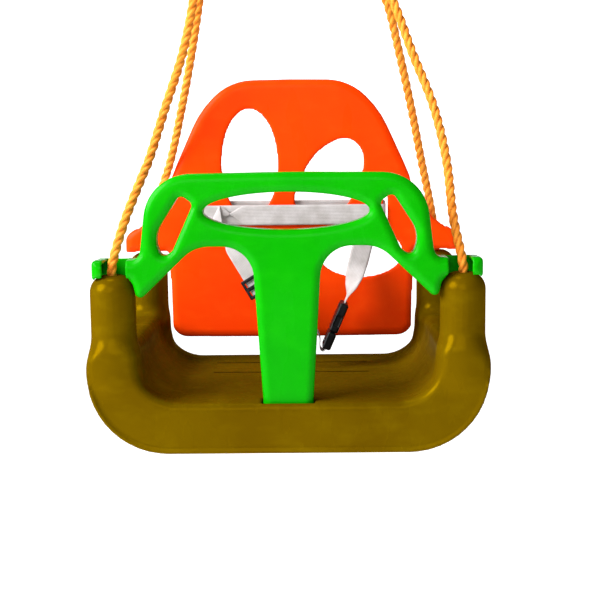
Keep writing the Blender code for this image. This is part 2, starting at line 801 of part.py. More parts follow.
def belt_tail():
    """The adjustable end, from the slider round into the plug's lower end."""
    sections = [across(SLIDER_AT + LEFT_STRAP * d, LEFT_STRAP) for d in (0.0003, 0.016)]
    sections.append(across((-0.0150, 0.0690, 0.1300), LEFT_STRAP, (0.15, -1, 0.1)))
    sections.append(across((0.0030, 0.0675, 0.1160), (0.7, 0, -0.7), (0.5, -0.8, 0.3)))
    sections.append(across((0.0200, 0.0650, 0.1040), (0.75, 0, -0.65), (0.8, -0.35, 0.5)))
    sideways = Vector((-BUCKLE_AXIS.z, 0, BUCKLE_AXIS.x))
    for up, aside in (
        (0.0160, 0.0170),
        (0.0080, 0.0105),
        (0.0010, 0.0085),
        (-0.0035, 0.0060),
        (-0.0052, 0.0028),
        (-0.0040, 0.0004),
        (-0.0006, -0.0002),
    ):
        place = BUCKLE_BOTTOM + BUCKLE_AXIS * up + sideways * aside
        back = Vector((0, WEBBING_WIDTH / 2, 0))
        sections.append((place + back, place - back))
    return ribbon("belt_tail", sections, WEBBING_THICKNESS)


def placed(obj, origin, x_axis, z_axis):
    """A piece built about its own origin, moved to where it belongs."""
    z_axis = Vector(z_axis).normalized()
    y_axis = z_axis.cross(Vector(x_axis)).normalized()
    turn = Matrix((y_axis.cross(z_axis), y_axis, z_axis)).transposed()
    obj.data.transform(Matrix.Translation(origin) @ turn.to_4x4())
    return obj


def centred_box(name, half_x, half_y, low, high):
    return box(name, (-half_x, -half_y, low), (half_x, half_y, high))


def softened(obj, width):
    """The piece with its sharp edges rounded."""
    bevel = obj.modifiers.new("edges", "BEVEL")
    bevel.width = width
    bevel.segments = 2
    bevel.limit_method = "ANGLE"
    bpy.context.view_layer.update()
    return to_mesh(obj, 0.00001)


def buckle_socket():
    """The half that the plug clicks into: open below, with a window at each side and a strap bar on top."""
    half_x, half_y = BUCKLE_THICKNESS / 2, BUCKLE_WIDTH / 2
    body = softened(centred_box("buckle_socket", half_x, half_y, -SOCKET_LENGTH, 0), 0.0025)
    cuts = [
        centred_box("mouth", half_x - 0.002, half_y - 0.0025, -SOCKET_LENGTH - 0.01, -0.0105),
        centred_box("window", half_x - 0.002, half_y + 0.01, -0.030, -0.016),
        centred_box("strap_slot", half_x + 0.01, 0.0135, -0.0075, -0.0040),
    ]
    body = boolean(body, cuts, "DIFFERENCE")
    return placed(body, BUCKLE_TOP, (BUCKLE_AXIS.z, 0, -BUCKLE_AXIS.x), BUCKLE_AXIS)


def buckle_plug():
    """The half on the adjustable end, with two springy prongs and a tongue between them."""
    half_x, half_y = BUCKLE_THICKNESS / 2, BUCKLE_WIDTH / 2
    length = (BUCKLE_TOP - BUCKLE_BOTTOM).length - SOCKET_LENGTH - 0.0006
    body = softened(centred_box("buckle_plug", half_x, half_y, 0, length), 0.0025)
    inside = 0.0024
    prongs = [
        box("prong", (-inside, 0.0090, length - 0.003), (inside, 0.0135, length + 0.019)),
        box("prong", (-inside, -0.0135, length - 0.003), (inside, -0.0090, length + 0.019)),
        box("tongue", (-inside, -0.0035, length - 0.003), (inside, 0.0035, length + 0.016)),
    ]
    body = boolean(body, prongs, "UNION")
    slot = centred_box("strap_slot", half_x + 0.01, 0.0135, 0.0040, 0.0075)
    body = boolean(body, [slot], "DIFFERENCE")
    return placed(body, BUCKLE_BOTTOM, (BUCKLE_AXIS.z, 0, -BUCKLE_AXIS.x), BUCKLE_AXIS)


def belt_slider():
    """The three-bar slider that lies on the strap and sets the belt's length."""
    half_x, half_y, half_z = SLIDER_WIDTH / 2, SLIDER_LENGTH / 2, SLIDER_THICKNESS / 2
    body = softened(centred_box("belt_slider", half_x, half_y, -half_z, half_z), 0.001)
    slots = [
        box("slot", (-0.0135, 0.0025, -0.01), (0.0135, 0.0090, 0.01)),
        box("slot", (-0.0135, -0.0090, -0.01), (0.0135, -0.0025, 0.01)),
    ]
    body = boolean(body, slots, "DIFFERENCE")
    width = LEFT_STRAP.cross(Vector((0, -1, 0))).normalized()
    facing = width.cross(LEFT_STRAP).normalized()
    if facing.y > 0:
        facing = -facing
    before = WEBBING_THICKNESS / 2 + GAP + half_z
    return placed(body, SLIDER_AT + facing * before, width, facing)


# ---------------------------------------------------------------- the swing
clear_scene()
parts = collection("toddler bucket swing")

hanger = carrier("hanger", DROP)
swing = carrier("swing", (0, 0, PIVOT_HEIGHT), hanger)
guard_lift = carrier("guard_lift", (0, GUARD_FRONT, SOCKET_FLOOR), swing)
backrest_lift = carrier("backrest_lift", (0, BACK_FRONT, ARM_BOTTOM), swing)
slider_travel = carrier("slider_travel", SLIDER_AT, backrest_lift)
buckle_release = carrier("buckle_release", BUCKLE_BOTTOM, backrest_lift)

finish(seat_shell(), "seat_shell", "seat_plastic", swing)
finish(guard_bar(), "guard_bar", "guard_plastic", guard_lift)
finish(backrest(), "backrest", "back_plastic", backrest_lift)
for side_name, side in SIDES.items():
    finish(ring(side), "ring_" + side_name, "steel", hanger)
    finish(thimble(side), "thimble_" + side_name, "thimble_plastic", swing)
    finish(rope(side_name), "rope_" + side_name, "rope_fibre", swing)
for place, (x, y) in TOWERS.items():
    finish(knot(x, y), "knot_" + place, "rope_fibre", swing)
    finish(washer(x, y), "washer_" + place, "steel", swing)
finish(belt_webbing(), "belt_webbing", "webbing", backrest_lift)
finish(buckle_socket(), "buckle_socket", "black_plastic", backrest_lift)
finish(belt_slider(), "belt_slider", "black_plastic", slider_travel)
finish(belt_tail(), "belt_tail", "webbing", buckle_release)
finish(buckle_plug(), "buckle_plug", "black_plastic", buckle_release)
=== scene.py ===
"""The looks of the toddler bucket swing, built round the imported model.

Heights in the named sizes are measured from the seat's underside, as they are in the CAD source. A finished
piece is carried down to the frame's origin, which lies between the two hanging rings.
"""

import math

import bmesh
import bpy
import numpy as np
from mathutils import Matrix, Vector


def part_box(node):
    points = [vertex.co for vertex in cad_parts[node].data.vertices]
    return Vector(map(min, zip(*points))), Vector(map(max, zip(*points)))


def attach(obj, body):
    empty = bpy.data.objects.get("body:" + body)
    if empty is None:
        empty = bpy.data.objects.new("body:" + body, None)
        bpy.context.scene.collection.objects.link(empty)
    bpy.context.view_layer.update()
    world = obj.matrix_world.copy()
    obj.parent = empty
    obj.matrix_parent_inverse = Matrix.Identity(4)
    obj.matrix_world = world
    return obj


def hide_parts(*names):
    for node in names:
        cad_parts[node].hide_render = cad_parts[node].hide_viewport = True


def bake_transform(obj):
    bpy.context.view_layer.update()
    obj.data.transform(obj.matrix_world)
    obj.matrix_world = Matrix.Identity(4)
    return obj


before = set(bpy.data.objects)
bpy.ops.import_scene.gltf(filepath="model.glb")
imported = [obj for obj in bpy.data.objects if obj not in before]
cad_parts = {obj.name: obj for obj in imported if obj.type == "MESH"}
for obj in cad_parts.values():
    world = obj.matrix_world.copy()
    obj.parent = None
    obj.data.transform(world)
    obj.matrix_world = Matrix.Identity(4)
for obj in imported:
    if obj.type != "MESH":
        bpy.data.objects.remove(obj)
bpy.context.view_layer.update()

ORIGIN_HEIGHT = -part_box("seat_shell")[0][2]
DROP = Vector((0, 0, ORIGIN_HEIGHT))
SIDES = {"left": -1, "right": 1}

# -------- sizes
WALL = 0.0035
SEAT_HALF_WIDTH = 0.216
SEAT_HALF_DEPTH = 0.150
SEAT_CORNER = 0.086
PAN_HEIGHT = 0.055
WALL_HEIGHT = 0.115
WALL_EDGE = 0.024  # rounding along the walls' outer top edges
INNER_HALF_WIDTH = 0.165
INNER_CORNER = 0.047
LIP_HEIGHT = 0.005
LIP_PROUD = 0.0015
LIP_TAPER = 0.022  # height in which the lip's ends run out into the walls
TOWER_RADIUS = 0.0245
TOWER_FOOT = 0.066
TOWER_TOP = 0.193
TOWER_EDGE = 0.019
TOWER_CEILING = 0.183
TOWERS = {
    "front_left": (-0.189, -0.125),
    "front_right": (0.189, -0.125),
    "rear_left": (-0.184, 0.125),
    "rear_right": (0.184, 0.125),
}
RIB_DEPTH = 0.010

GUARD_FRONT = -0.143
GUARD_DEPTH = 0.022
GUARD_WALL = 0.003
POST_HALF_WIDTH = 0.0272
SOCKET_FLOOR = 0.0235
SOCKET_CLEARANCE = 0.0012
GAP = 0.0003
HOOK_BOTTOM = 0.1885
HOOK_TOP = 0.2085
HOOK_END = 0.2085
HOOK_BACK = -0.099
HOOK_WALL_BOTTOM = 0.1845  # the rear wall reaches down behind the tower's dome
ROPE_SLOT = (0.1722, 0.197)  # the rope's way through the front and the top of a hook

BACK_FRONT = 0.100
BACK_DEPTH = 0.026
BACK_WALL = 0.004
ARM_BOTTOM = 0.1945
BELT_SLOT = 0.116
BELT_SLOT_WIDTH = 0.005

ROPE_RADIUS = 0.00525
ROPE_LAY = 0.033  # length in which a strand goes once round
THIMBLE_X = 0.097
THIMBLE_HEIGHT = 0.533
EYE_RADIUS = 0.014
GROOVE_RADIUS = 0.017
THIMBLE_RIM = 0.0205
THIMBLE_HALF_WIDTH = 0.006
ROPE_LEAN = math.radians(15)
ROPE_MEETS_GROOVE = math.radians(16.6)
KNOT_BOTTOM = 0.156
KNOT_STRAND = 0.0042
KNOT_LAY = 0.030
RING_RADIUS = 0.021
RING_WIRE = 0.004

WEBBING_WIDTH = 0.025
WEBBING_THICKNESS = 0.0012
BELT_LOW = 0.228
BELT_RISE = 0.005
BUCKLE_TOP = Vector((0.0660, 0.062, 0.134))
BUCKLE_BOTTOM = Vector((0.0420, 0.062, 0.078))
BUCKLE_AXIS = (BUCKLE_TOP - BUCKLE_BOTTOM).normalized()
BUCKLE_WIDTH = 0.034
BUCKLE_THICKNESS = 0.011
SOCKET_LENGTH = 0.038
SLIDER_AT = Vector((-0.0415, 0.0730, 0.1560))
SLIDER_WIDTH = 0.034
SLIDER_LENGTH = 0.026
SLIDER_THICKNESS = 0.003
RIGHT_STRAP = Vector((-0.290, 0, -0.957))
LEFT_STRAP = Vector((0.5146, -0.1634, -0.8417))

# the ropes' free stretches, point for point as in the CAD
STRANDS = {
    "front_left": [
        (-0.1775, -0.1105, 0.245),
        (-0.1585, -0.0950, 0.295),
        (-0.1510, -0.0890, 0.3135),
        (-0.1330, -0.0715, 0.372),
        (-0.1150, -0.0535, 0.430),
        (-0.1030, -0.0360, 0.490),
    ],
    "rear_left": [
        (-0.1745, 0.1195, 0.238),
        (-0.1610, 0.1095, 0.278),
        (-0.1492, 0.0985, 0.309),
        (-0.1308, 0.0740, 0.374),
        (-0.1160, 0.0535, 0.434),
        (-0.1030, 0.0341, 0.497),
    ],
    "front_right": [
        (0.1800, -0.1085, 0.250),
        (0.1745, -0.0900, 0.310),
        (0.1620, -0.0725, 0.3686),
        (0.1405, -0.0547, 0.427),
        (0.1190, -0.0363, 0.4876),
    ],
    "rear_right": [
        (0.1785, 0.1180, 0.238),
        (0.1632, 0.0970, 0.3055),
        (0.1483, 0.0740, 0.372),
        (0.1330, 0.0540, 0.434),
        (0.1160, 0.0352, 0.495),
    ],
}

# -------- camera
CAMERA_AT = Vector((0.0313, -1.43, 0.343))
CAMERA_DOWN = math.radians(7.84)
CAMERA_TURN = math.radians(0.784)
CAMERA_ROLL = math.radians(-0.65)
CAMERA_LENS = 73.2

# -------- cells of the skinned pieces
SEAT_CELL = 0.0022
GUARD_CELL = 0.0016
BACK_CELL = 0.0019
BUCKLE_CELL = 0.0006
SLIDER_CELL = 0.0004

# -------- colours: deep, middle and pale
SEAT_BROWN = ((0.098, 0.052, 0.0003), (0.122, 0.070, 0.0003), (0.190, 0.122, 0.001))
SEAT_TINT = (0.42, 0.27, 0.01)
# painted shade for the lines scored across the pan
SEAT_SCORE_SHADE = (0.020, 0.008, 0.0001)
GUARD_GREEN = ((0.0016, 0.28, 0.0003), (0.0026, 0.325, 0.0004), (0.008, 0.39, 0.001))
BACK_ORANGE = ((0.88, 0.040, 0.0006), (0.95, 0.055, 0.0008), (1.0, 0.085, 0.004))
BUCKLE_BLACK = ((0.002, 0.002, 0.003), (0.003, 0.004, 0.005), (0.012, 0.013, 0.015))
THIMBLE_GREY = ((0.020, 0.020, 0.021), (0.035, 0.035, 0.036), (0.075, 0.075, 0.078))
# darker yarn stripes, and painted shade in the grooves between the rope's strands
ROPE_YARN_AND_GROOVE_SHADE = (0.62, 0.11, 0.004)
ROPE_ORANGE = ((0.90, 0.24, 0.009), (0.95, 0.36, 0.030))
# painted shade for the hollows of the weave
WEBBING_HOLLOW_SHADE = (0.28, 0.25, 0.24)
WEBBING_GREY = ((0.46, 0.43, 0.42), (0.60, 0.57, 0.57))
STEEL = ((0.52, 0.52, 0.54), (0.74, 0.74, 0.75))
PAPER = ((0.94, 0.94, 0.94), (0.97, 0.97, 0.97))
SCORE_LINES = (0.024, 0.086, 0.143)  # how far back the pan is scored across
SCORE_REACH = 0.093
SCORE_HALF_WIDTH = 0.0015

# -------- light: name, place, size, power
LAMPS = (
    ("key", (-2.6, -1.3, 1.2), 2.4, 240),
    ("front", (-0.4, -3.0, 0.8), 1.8, 26),
    ("top", (-0.5, 0.1, 2.0), 0.8, 16),
)
LAMP_TARGET = Vector((0, 0, -0.40))
ROOM_LIGHT = 0.18
PAPER_GLOW = 0.80
SWEEP_HALF_WIDTH = 12.0
SWEEP_FRONT = -6.0
SWEEP_BACK = 8.0
SWEEP_FLOOR = -1.45
SWEEP_TOP = 0.85
SWEEP_BEND = 1.4


def make_camera():
    """The camera in front of the swing, a little above the seat's middle and looking slightly down."""
    data = bpy.data.cameras.new("camera")
    data.sensor_width = 36
    data.lens = CAMERA_LENS
    camera = link(data, "camera")
    level = Matrix.Rotation(CAMERA_TURN, 4, "Z") @ Matrix.Rotation(math.pi / 2 - CAMERA_DOWN, 4, "X")
    roll = Matrix.Rotation(CAMERA_ROLL, 4, "Z")
    camera.matrix_world = Matrix.Translation(CAMERA_AT - DROP) @ level @ roll
    bpy.context.scene.camera = camera


# -------- lines and outlines
def smooth_line(points, step, closed=False):
    """Points every step along a smooth curve through the given ones."""
    points = [Vector(p) for p in points]
    if closed:
        padded = [points[-1], *points, points[0], points[1]]
    else:
        padded = [2 * points[0] - points[1], *points, 2 * points[-1] - points[-2]]
    fine = []
    for p0, p1, p2, p3 in zip(padded, padded[1:], padded[2:], padded[3:]):
        t1 = (p1 - p0).length ** 0.5
        t2 = t1 + (p2 - p1).length ** 0.5
        t3 = t2 + (p3 - p2).length ** 0.5
        for k in range(24):
            t = t1 + (t2 - t1) * k / 24
            a1 = p0.lerp(p1, t / t1)
            a2 = p1.lerp(p2, (t - t1) / (t2 - t1))
            a3 = p2.lerp(p3, (t - t2) / (t3 - t2))
            b1 = a1.lerp(a2, t / t2)
            b2 = a2.lerp(a3, (t - t1) / (t3 - t1))
            fine.append(b1.lerp(b2, (t - t1) / (t2 - t1)))
    fine.append(padded[-2].copy())
    line = evenly(fine, step)
    return line[:-1] if closed else line


def evenly(points, step):
    """Points every step along a line of straight pieces."""
    along = [0.0]
    for a, b in zip(points, points[1:]):
        along.append(along[-1] + (b - a).length)
    count = max(2, round(along[-1] / step))
    line, i = [], 0
    for k in range(count + 1):
        want = along[-1] * k / count
        while i < len(along) - 2 and along[i + 1] < want:
            i += 1
        span = max(along[i + 1] - along[i], 1e-9)
        line.append(points[i].lerp(points[i + 1], (want - along[i]) / span))
    return line


def rounded(corners, steps=12):
    """An outline from corners (x, z, radius), with each corner as an arc."""
    points = []
    for i, (x, z, radius) in enumerate(corners):
        here = Vector((x, z))
        before = (Vector(corners[i - 1][:2]) - here).normalized()
        after = (Vector(corners[(i + 1) % len(corners)][:2]) - here).normalized()
        if radius == 0:
            points.append(here)
            continue
        half = before.angle(after) / 2
        centre = here + (before + after).normalized() * radius / math.sin(half)
        start = here + before * radius / math.tan(half) - centre
        turn = math.pi - 2 * half
        if before.cross(after) > 0:
            turn = -turn
        count = max(2, round(steps * abs(turn) / (math.pi / 2)))
        for k in range(count + 1):
            spin = Matrix.Rotation(turn * k / count, 2)
            points.append(centre + spin @ start)
    return points


def mirrored(corners):
    """A half outline from its top middle round to its bottom middle, closed with its mirror image."""
    return corners + [(-x, z, radius) for x, z, radius in reversed(corners)]


def ellipse(x, z, half_x, half_z, count=72):
    turns = [2 * math.pi * k / count for k in range(count)]
    return [Vector((x + half_x * math.cos(a), z + half_z * math.sin(a))) for a in turns]


# -------- solids as distance fields
def within(wide, deep, edge):
    """The solid inside both shapes, each of them smaller by the edge that this gives back as a rounding."""
    outside = np.sqrt(np.maximum(wide, 0) ** 2 + np.maximum(deep, 0) ** 2)
    return np.minimum(np.maximum(wide, deep), 0) + outside - edge


class Space:
    """A box of grid points in which a solid's signed distance (negative inside) is worked out."""

    def __init__(self, low, high, cell):
        self.low, self.cell = np.array(low, float), cell
        counts = [int(math.ceil((b - a) / cell)) + 1 for a, b in zip(low, high)]
        x, y, z = (a + cell * np.arange(n) for a, n in zip(low, counts))
        self.x, self.y, self.z = x[:, None, None], y[None, :, None], z[None, None, :]

    def outline(self, points):
        """Distance from a closed outline in the X-Z plane."""
        px, pz = np.meshgrid(self.x.ravel(), self.z.ravel(), indexing="ij")
        best = np.full(px.shape, 1e9)
        inside = np.zeros(px.shape, bool)
        for (ax, az), (bx, bz) in zip(points, points[1:] + points[:1]):
            ex, ez = bx - ax, bz - az
            length = ex * ex + ez * ez
            if length < 1e-14:
                continue
            t = np.clip(((px - ax) * ex + (pz - az) * ez) / length, 0, 1)
            best = np.minimum(best, (px - ax - t * ex) ** 2 + (pz - az - t * ez) ** 2)
            if az != bz:
                crosses = ((az > pz) != (bz > pz)) & (px < ex * (pz - az) / ez + ax)
                inside ^= crosses
        return (np.sqrt(best) * np.where(inside, -1, 1))[:, None, :]

    def slab(self, flat, y_front, y_back, edge=0.0, shoulder=0.0, reach=0.010):
        """A flat shape given depth, its edges rounded; a shoulder makes its front fall back at the edge."""
        y = self.y
        if shoulder:
            near = np.clip(1 + flat / reach, 0, 1)
            y = y - shoulder * near * near * np.clip((y_back - y) / (y_back - y_front), 0, 1)
        deep = np.abs(y - (y_front + y_back) / 2) - (y_back - y_front) / 2 + edge
        return within(flat + edge, deep, edge)

    def block(self, low, high, edge=0.0):
        """A box with rounded edges."""
        gaps = [
            np.abs(p - (a + b) / 2) - (b - a) / 2 + edge
            for p, a, b in zip((self.x, self.y, self.z), low, high)
        ]
        outside = np.sqrt(sum(np.maximum(g, 0) ** 2 for g in gaps))
        return outside + np.minimum(np.maximum(np.maximum(*gaps[:2]), gaps[2]), 0) - edge

    def post(self, x, y, radius, z_low, z_high, edge=0.0):
        """An upright cylinder, its rims rounded."""
        wide = np.sqrt((self.x - x) ** 2 + (self.y - y) ** 2) - radius + edge
        tall = np.abs(self.z - (z_low + z_high) / 2) - (z_high - z_low) / 2 + edge
        return within(wide, tall, edge)


def join(a, b, blend=0.0005):
    """Both solids, with a fillet of about the blend's size where they meet."""
    mix = np.clip(0.5 + 0.5 * (b - a) / blend, 0, 1)
    return b * (1 - mix) + a * mix - blend * mix * (1 - mix)


def cut(a, b, blend=0.0005):
    """The first solid without the second, with the new edge rounded by about the blend's size."""
    return -join(-a, b, blend)


def on_side(side, near, far):
    """The low and the high end of a stretch that lies from near to far on one side of the middle."""
    return sorted((side * near, side * far))


def skin(name, space, field):
    """A mesh on a field's zero surface: one point per crossed cell, settled onto the surface."""
    cell = space.cell
    field = np.ascontiguousarray(field, dtype=np.float64)
    inside = field < 0
    shape = tuple(n - 1 for n in field.shape)
    total, hits = np.zeros((*shape, 3)), np.zeros(shape)
    for axis in range(3):
        others = [k for k in range(3) if k != axis]
        for first, second in np.ndindex(2, 2):
            start = [slice(0, n) for n in shape]
            for k, offset in zip(others, (first, second)):
                start[k] = slice(offset, offset + shape[k])
            end = list(start)
            end[axis] = slice(1, shape[axis] + 1)
            a, b = field[tuple(start)], field[tuple(end)]
            crossed = (a < 0) != (b < 0)
            t = np.where(crossed, a / np.where(crossed, a - b, 1), 0)
            hits += crossed
            total[..., axis] += np.where(crossed, t, 0)
            for k, offset in zip(others, (first, second)):
                total[..., k] += np.where(crossed, offset, 0)
    used = hits > 0
    number = np.full(shape, -1, np.int64)
    number[used] = np.arange(used.sum())
    where = np.argwhere(used) + total[used] / hits[used][:, None]

    faces = []
    for axis in range(3):
        one, two = [k for k in range(3) if k != axis]
        lower = [slice(1, n) for n in shape]
        lower[axis] = slice(0, shape[axis])
        upper = list(lower)
        upper[axis] = slice(1, shape[axis] + 1)
        a, b = inside[tuple(lower)], inside[tuple(upper)]
        spots = np.argwhere(a != b)
        spots[:, one] += 1
        spots[:, two] += 1
        leaving = a[a != b]
        ring = []
        for back_one, back_two in ((1, 1), (0, 1), (0, 0), (1, 0)):
            at = spots.copy()
            at[:, one] -= back_one
            at[:, two] -= back_two
            ring.append(number[at[:, 0], at[:, 1], at[:, 2]])
        quads = np.stack(ring, axis=1)
        flip = leaving if axis == 1 else ~leaving
        quads[flip] = quads[flip][:, ::-1]
        faces.append(quads)
    faces = np.concatenate(faces)
    faces = faces[(faces >= 0).all(axis=1)]

    slopes = np.gradient(field, cell)
    limit = np.array(field.shape) - 1.001
    for _ in range(4):
        at = np.clip(where, 0, limit)
        base = at.astype(int)
        part = at - base
        value, slope = 0.0, np.zeros((len(at), 3))
        for step in np.ndindex(2, 2, 2):
            weight = np.abs(1 - np.array(step) - part).prod(axis=1)
            spot = tuple((base + step).T)
            value = value + weight * field[spot]
            for n in range(3):
                slope[:, n] += weight * slopes[n][spot]
        steep = np.maximum((slope**2).sum(axis=1), 0.05)
        move = slope * (value / steep)[:, None] / cell
        where -= np.clip(move, -0.5, 0.5)
    points = space.low + where * cell
    return piece(name, points.tolist(), faces.tolist())


# -------- objects
def link(data, name):
    obj = bpy.data.objects.new(name, data)
    bpy.context.scene.collection.objects.link(obj)
    return obj


def piece(name, points, faces, edges=()):
    mesh = bpy.data.meshes.new(name)
    mesh.from_pydata(points, edges, faces)
    return link(mesh, name)


def tube_faces(rings, around, closed=False):
    """Faces between rings of points numbered on from ring to ring; an open tube's ends are capped."""
    faces = []
    for i in range(rings if closed else rings - 1):
        here, there = i * around, (i + 1) % rings * around
        for k in range(around):
            n = (k + 1) % around
            faces.append((here + k, here + n, there + n, there + k))
    if not closed:
        faces.append(tuple(reversed(range(around))))
        faces.append(tuple(range((rings - 1) * around, rings * around)))
    return faces


def mapped(obj, layer_name, places):
    """The piece with a map layer that says where on its weave or its lay each point lies."""
    layer = obj.data.uv_layers.new(name=layer_name)
    for loop in obj.data.loops:
        layer.data[loop.index].uv = places[loop.vertex_index]
    return obj


def applied(obj):
    """The object with its modifiers made part of its mesh."""
    depsgraph = bpy.context.evaluated_depsgraph_get()
    mesh = bpy.data.meshes.new_from_object(obj.evaluated_get(depsgraph))
    obj.modifiers.clear()
    obj.data = mesh
    return obj


def finished(obj, look, body, node):
    """A piece carried down into the frame, given its look and its body, in place of its CAD node."""
    obj.data.transform(Matrix.Translation(-DROP))
    obj.data.materials.clear()
    obj.data.materials.append(LOOKS[look])
    obj.data.shade_smooth()
    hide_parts(node)
    if body:
        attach(obj, body)
    return obj


# -------- the three mouldings
def seat():
    """The seat: trough, end walls, lip and towers run into each other softly; open underneath."""
    w, iw, top, t = SEAT_HALF_WIDTH, INNER_HALF_WIDTH, WALL_HEIGHT, WALL
    depth, pan, h = SEAT_HALF_DEPTH, PAN_HEIGHT, LIP_HEIGHT
    space = Space((-w - 0.006, -depth - 0.008, -0.006), (w + 0.006, depth + 0.008, 0.200), SEAT_CELL)
    trough = [(iw, pan, INNER_CORNER), (iw, top, 0.012), (w, top, WALL_EDGE), (w, 0, SEAT_CORNER)]
    solid = space.slab(space.outline(rounded(mirrored(trough))), -depth, depth, 0.008)
    for x, y in TOWERS.values():
        tower = space.post(x, y, TOWER_RADIUS, TOWER_FOOT, TOWER_TOP, TOWER_EDGE)
        solid = join(solid, tower, 0.018)
    lip_top = SEAT_CORNER + 0.006
    lip = [
        (w - h, h, SEAT_CORNER - h),
        (w - h, lip_top - LIP_TAPER, 0),
        (w, lip_top, 0),
        (w, 0, SEAT_CORNER),
    ]
    proud = depth + LIP_PROUD
    solid = join(solid, space.slab(space.outline(rounded(mirrored(lip))), -proud, proud, 0.0014), 0.001)

    core = [
        (iw + t, pan - t, INNER_CORNER + t),
        (iw + t, top - t, 0.0085),
        (w - t, top - t, WALL_EDGE - t),
        (w - t, -0.03, 0),
    ]
    hollow = space.slab(space.outline(rounded(mirrored(core))), -depth + t, depth - t, 0.004)
    for x, y in TOWERS.values():
        hollow = join(hollow, space.post(x, y, TOWER_RADIUS - t, 0.020, TOWER_CEILING, 0.008), 0.004)
    solid = cut(solid, hollow, 0.0015)

    slot_x = POST_HALF_WIDTH + SOCKET_CLEARANCE
    slot_front = GUARD_FRONT - SOCKET_CLEARANCE
    slot_back = GUARD_FRONT + GUARD_DEPTH + SOCKET_CLEARANCE
    under = pan - t / 2
    socket = space.block(
        (-slot_x - t, -depth + t / 2, SOCKET_FLOOR - t), (slot_x + t, slot_back + t, under), 0.001
    )
    solid = join(solid, socket, 0.0015)
    rib_low, rib_half = pan - t - RIB_DEPTH, 0.0016
    for y in (-0.05, 0.05):
        rib = space.block((-0.12, y - rib_half, rib_low), (0.12, y + rib_half, under), 0.0008)
        solid = join(solid, rib, 0.0015)
    for x in (-0.07, 0.07):
        near, far = -depth + t / 2, depth - t / 2
        rib = space.block((x - rib_half, near, rib_low), (x + rib_half, far, under), 0.0008)
        solid = join(solid, rib, 0.0015)
    slot = space.block((-slot_x, slot_front, SOCKET_FLOOR), (slot_x, slot_back, pan + 0.02), 0.001)
    solid = cut(solid, slot, 0.002)
    for x, y in TOWERS.values():
        hole = space.post(x, y, ROPE_RADIUS + 0.0015, TOWER_CEILING - 0.01, TOWER_TOP + 0.02)
        solid = cut(solid, hole, 0.003)
    return skin("seat", space, solid)


def guard_outlines():
    """The guard's outline with the fronts of its hooks, and the outlines of its three holes."""
    half = [
        (0, 0.3015, 0),
        (0.100, 0.3005, 0.08),
        (0.1465, 0.2985, 0.050),
        (0.1577, HOOK_TOP, 0.0125),
        (HOOK_END, HOOK_TOP, 0.004),
        (HOOK_END, HOOK_BOTTOM, 0.003),
        (0.1685, HOOK_BOTTOM, 0.002),
        (0.1650, 0.1830, 0.008),
        (0.1605, 0.1640, 0.0055),
        (0.0985, 0.2230, 0.038),
        (0.0375, 0.2230, 0.034),
        (POST_HALF_WIDTH, PAN_HEIGHT, 0),
        (POST_HALF_WIDTH, SOCKET_FLOOR + GAP, 0),
    ]
    slot = [
        (0.1130, 0.2790, 0.006),
        (0.1420, 0.2340, 0.030),
        (0.1330, 0.2100, 0.006),
        (0.1215, 0.2195, 0.006),
        (0.0990, 0.2690, 0.006),
    ]
    holes = [rounded([(side * x, z, r) for x, z, r in slot]) for side in SIDES.values()]
    return rounded(mirrored(half)), [ellipse(0, 0.2605, 0.0885, 0.0200), *holes]


def guard():
    """The T-bar guard: a tray with a soft front, a flange round each hole, a hook round each front rope."""
    body, holes = guard_outlines()
    back, t = GUARD_FRONT + GUARD_DEPTH, GUARD_WALL
    space = Space((-0.213, GUARD_FRONT - 0.004, 0.018), (0.213, HOOK_BACK + 0.004, 0.307), GUARD_CELL)
    flat = space.outline(body)
    for hole in holes:
        flat = np.maximum(flat, -space.outline(hole))
    solid = space.slab(flat, GUARD_FRONT, back, 0.0014, shoulder=0.0045, reach=0.0085)
    inside = space.slab(flat + t, GUARD_FRONT + t, back + 0.06, 0.002, shoulder=0.0045, reach=0.0085)
    solid = cut(solid, inside, 0.001)
    ceiling, rear = HOOK_TOP - WALL, HOOK_BACK - WALL
    for side in SIDES.values():
        near, far = on_side(side, 0.1610, HOOK_END)
        hook = space.block((near, GUARD_FRONT + 0.005, HOOK_BOTTOM), (far, HOOK_BACK, HOOK_TOP), 0.0035)
        solid = join(solid, hook, 0.003)
        wall = space.block((near, rear, HOOK_WALL_BOTTOM), (far, HOOK_BACK, HOOK_TOP - 0.002), 0.001)
        solid = join(solid, wall, 0.001)
        near, far = on_side(side, ROPE_SLOT[0] - t, HOOK_END - t)
        hollow = space.block((near, GUARD_FRONT + t, 0.18), (far, rear, ceiling), 0.002)
        solid = cut(solid, hollow, 0.001)
        near, far = on_side(side, *ROPE_SLOT)
        slot = space.block((near, GUARD_FRONT - 0.02, 0.18), (far, rear, 0.24), 0.002)
        solid = cut(solid, slot, 0.001)
    for x, y in (TOWERS["front_left"], TOWERS["front_right"]):
        dome = space.post(x, y, TOWER_RADIUS + 0.001, 0, TOWER_TOP + 0.001, TOWER_EDGE)
        solid = cut(solid, dome, 0.001)
    return skin("guard", space, solid)


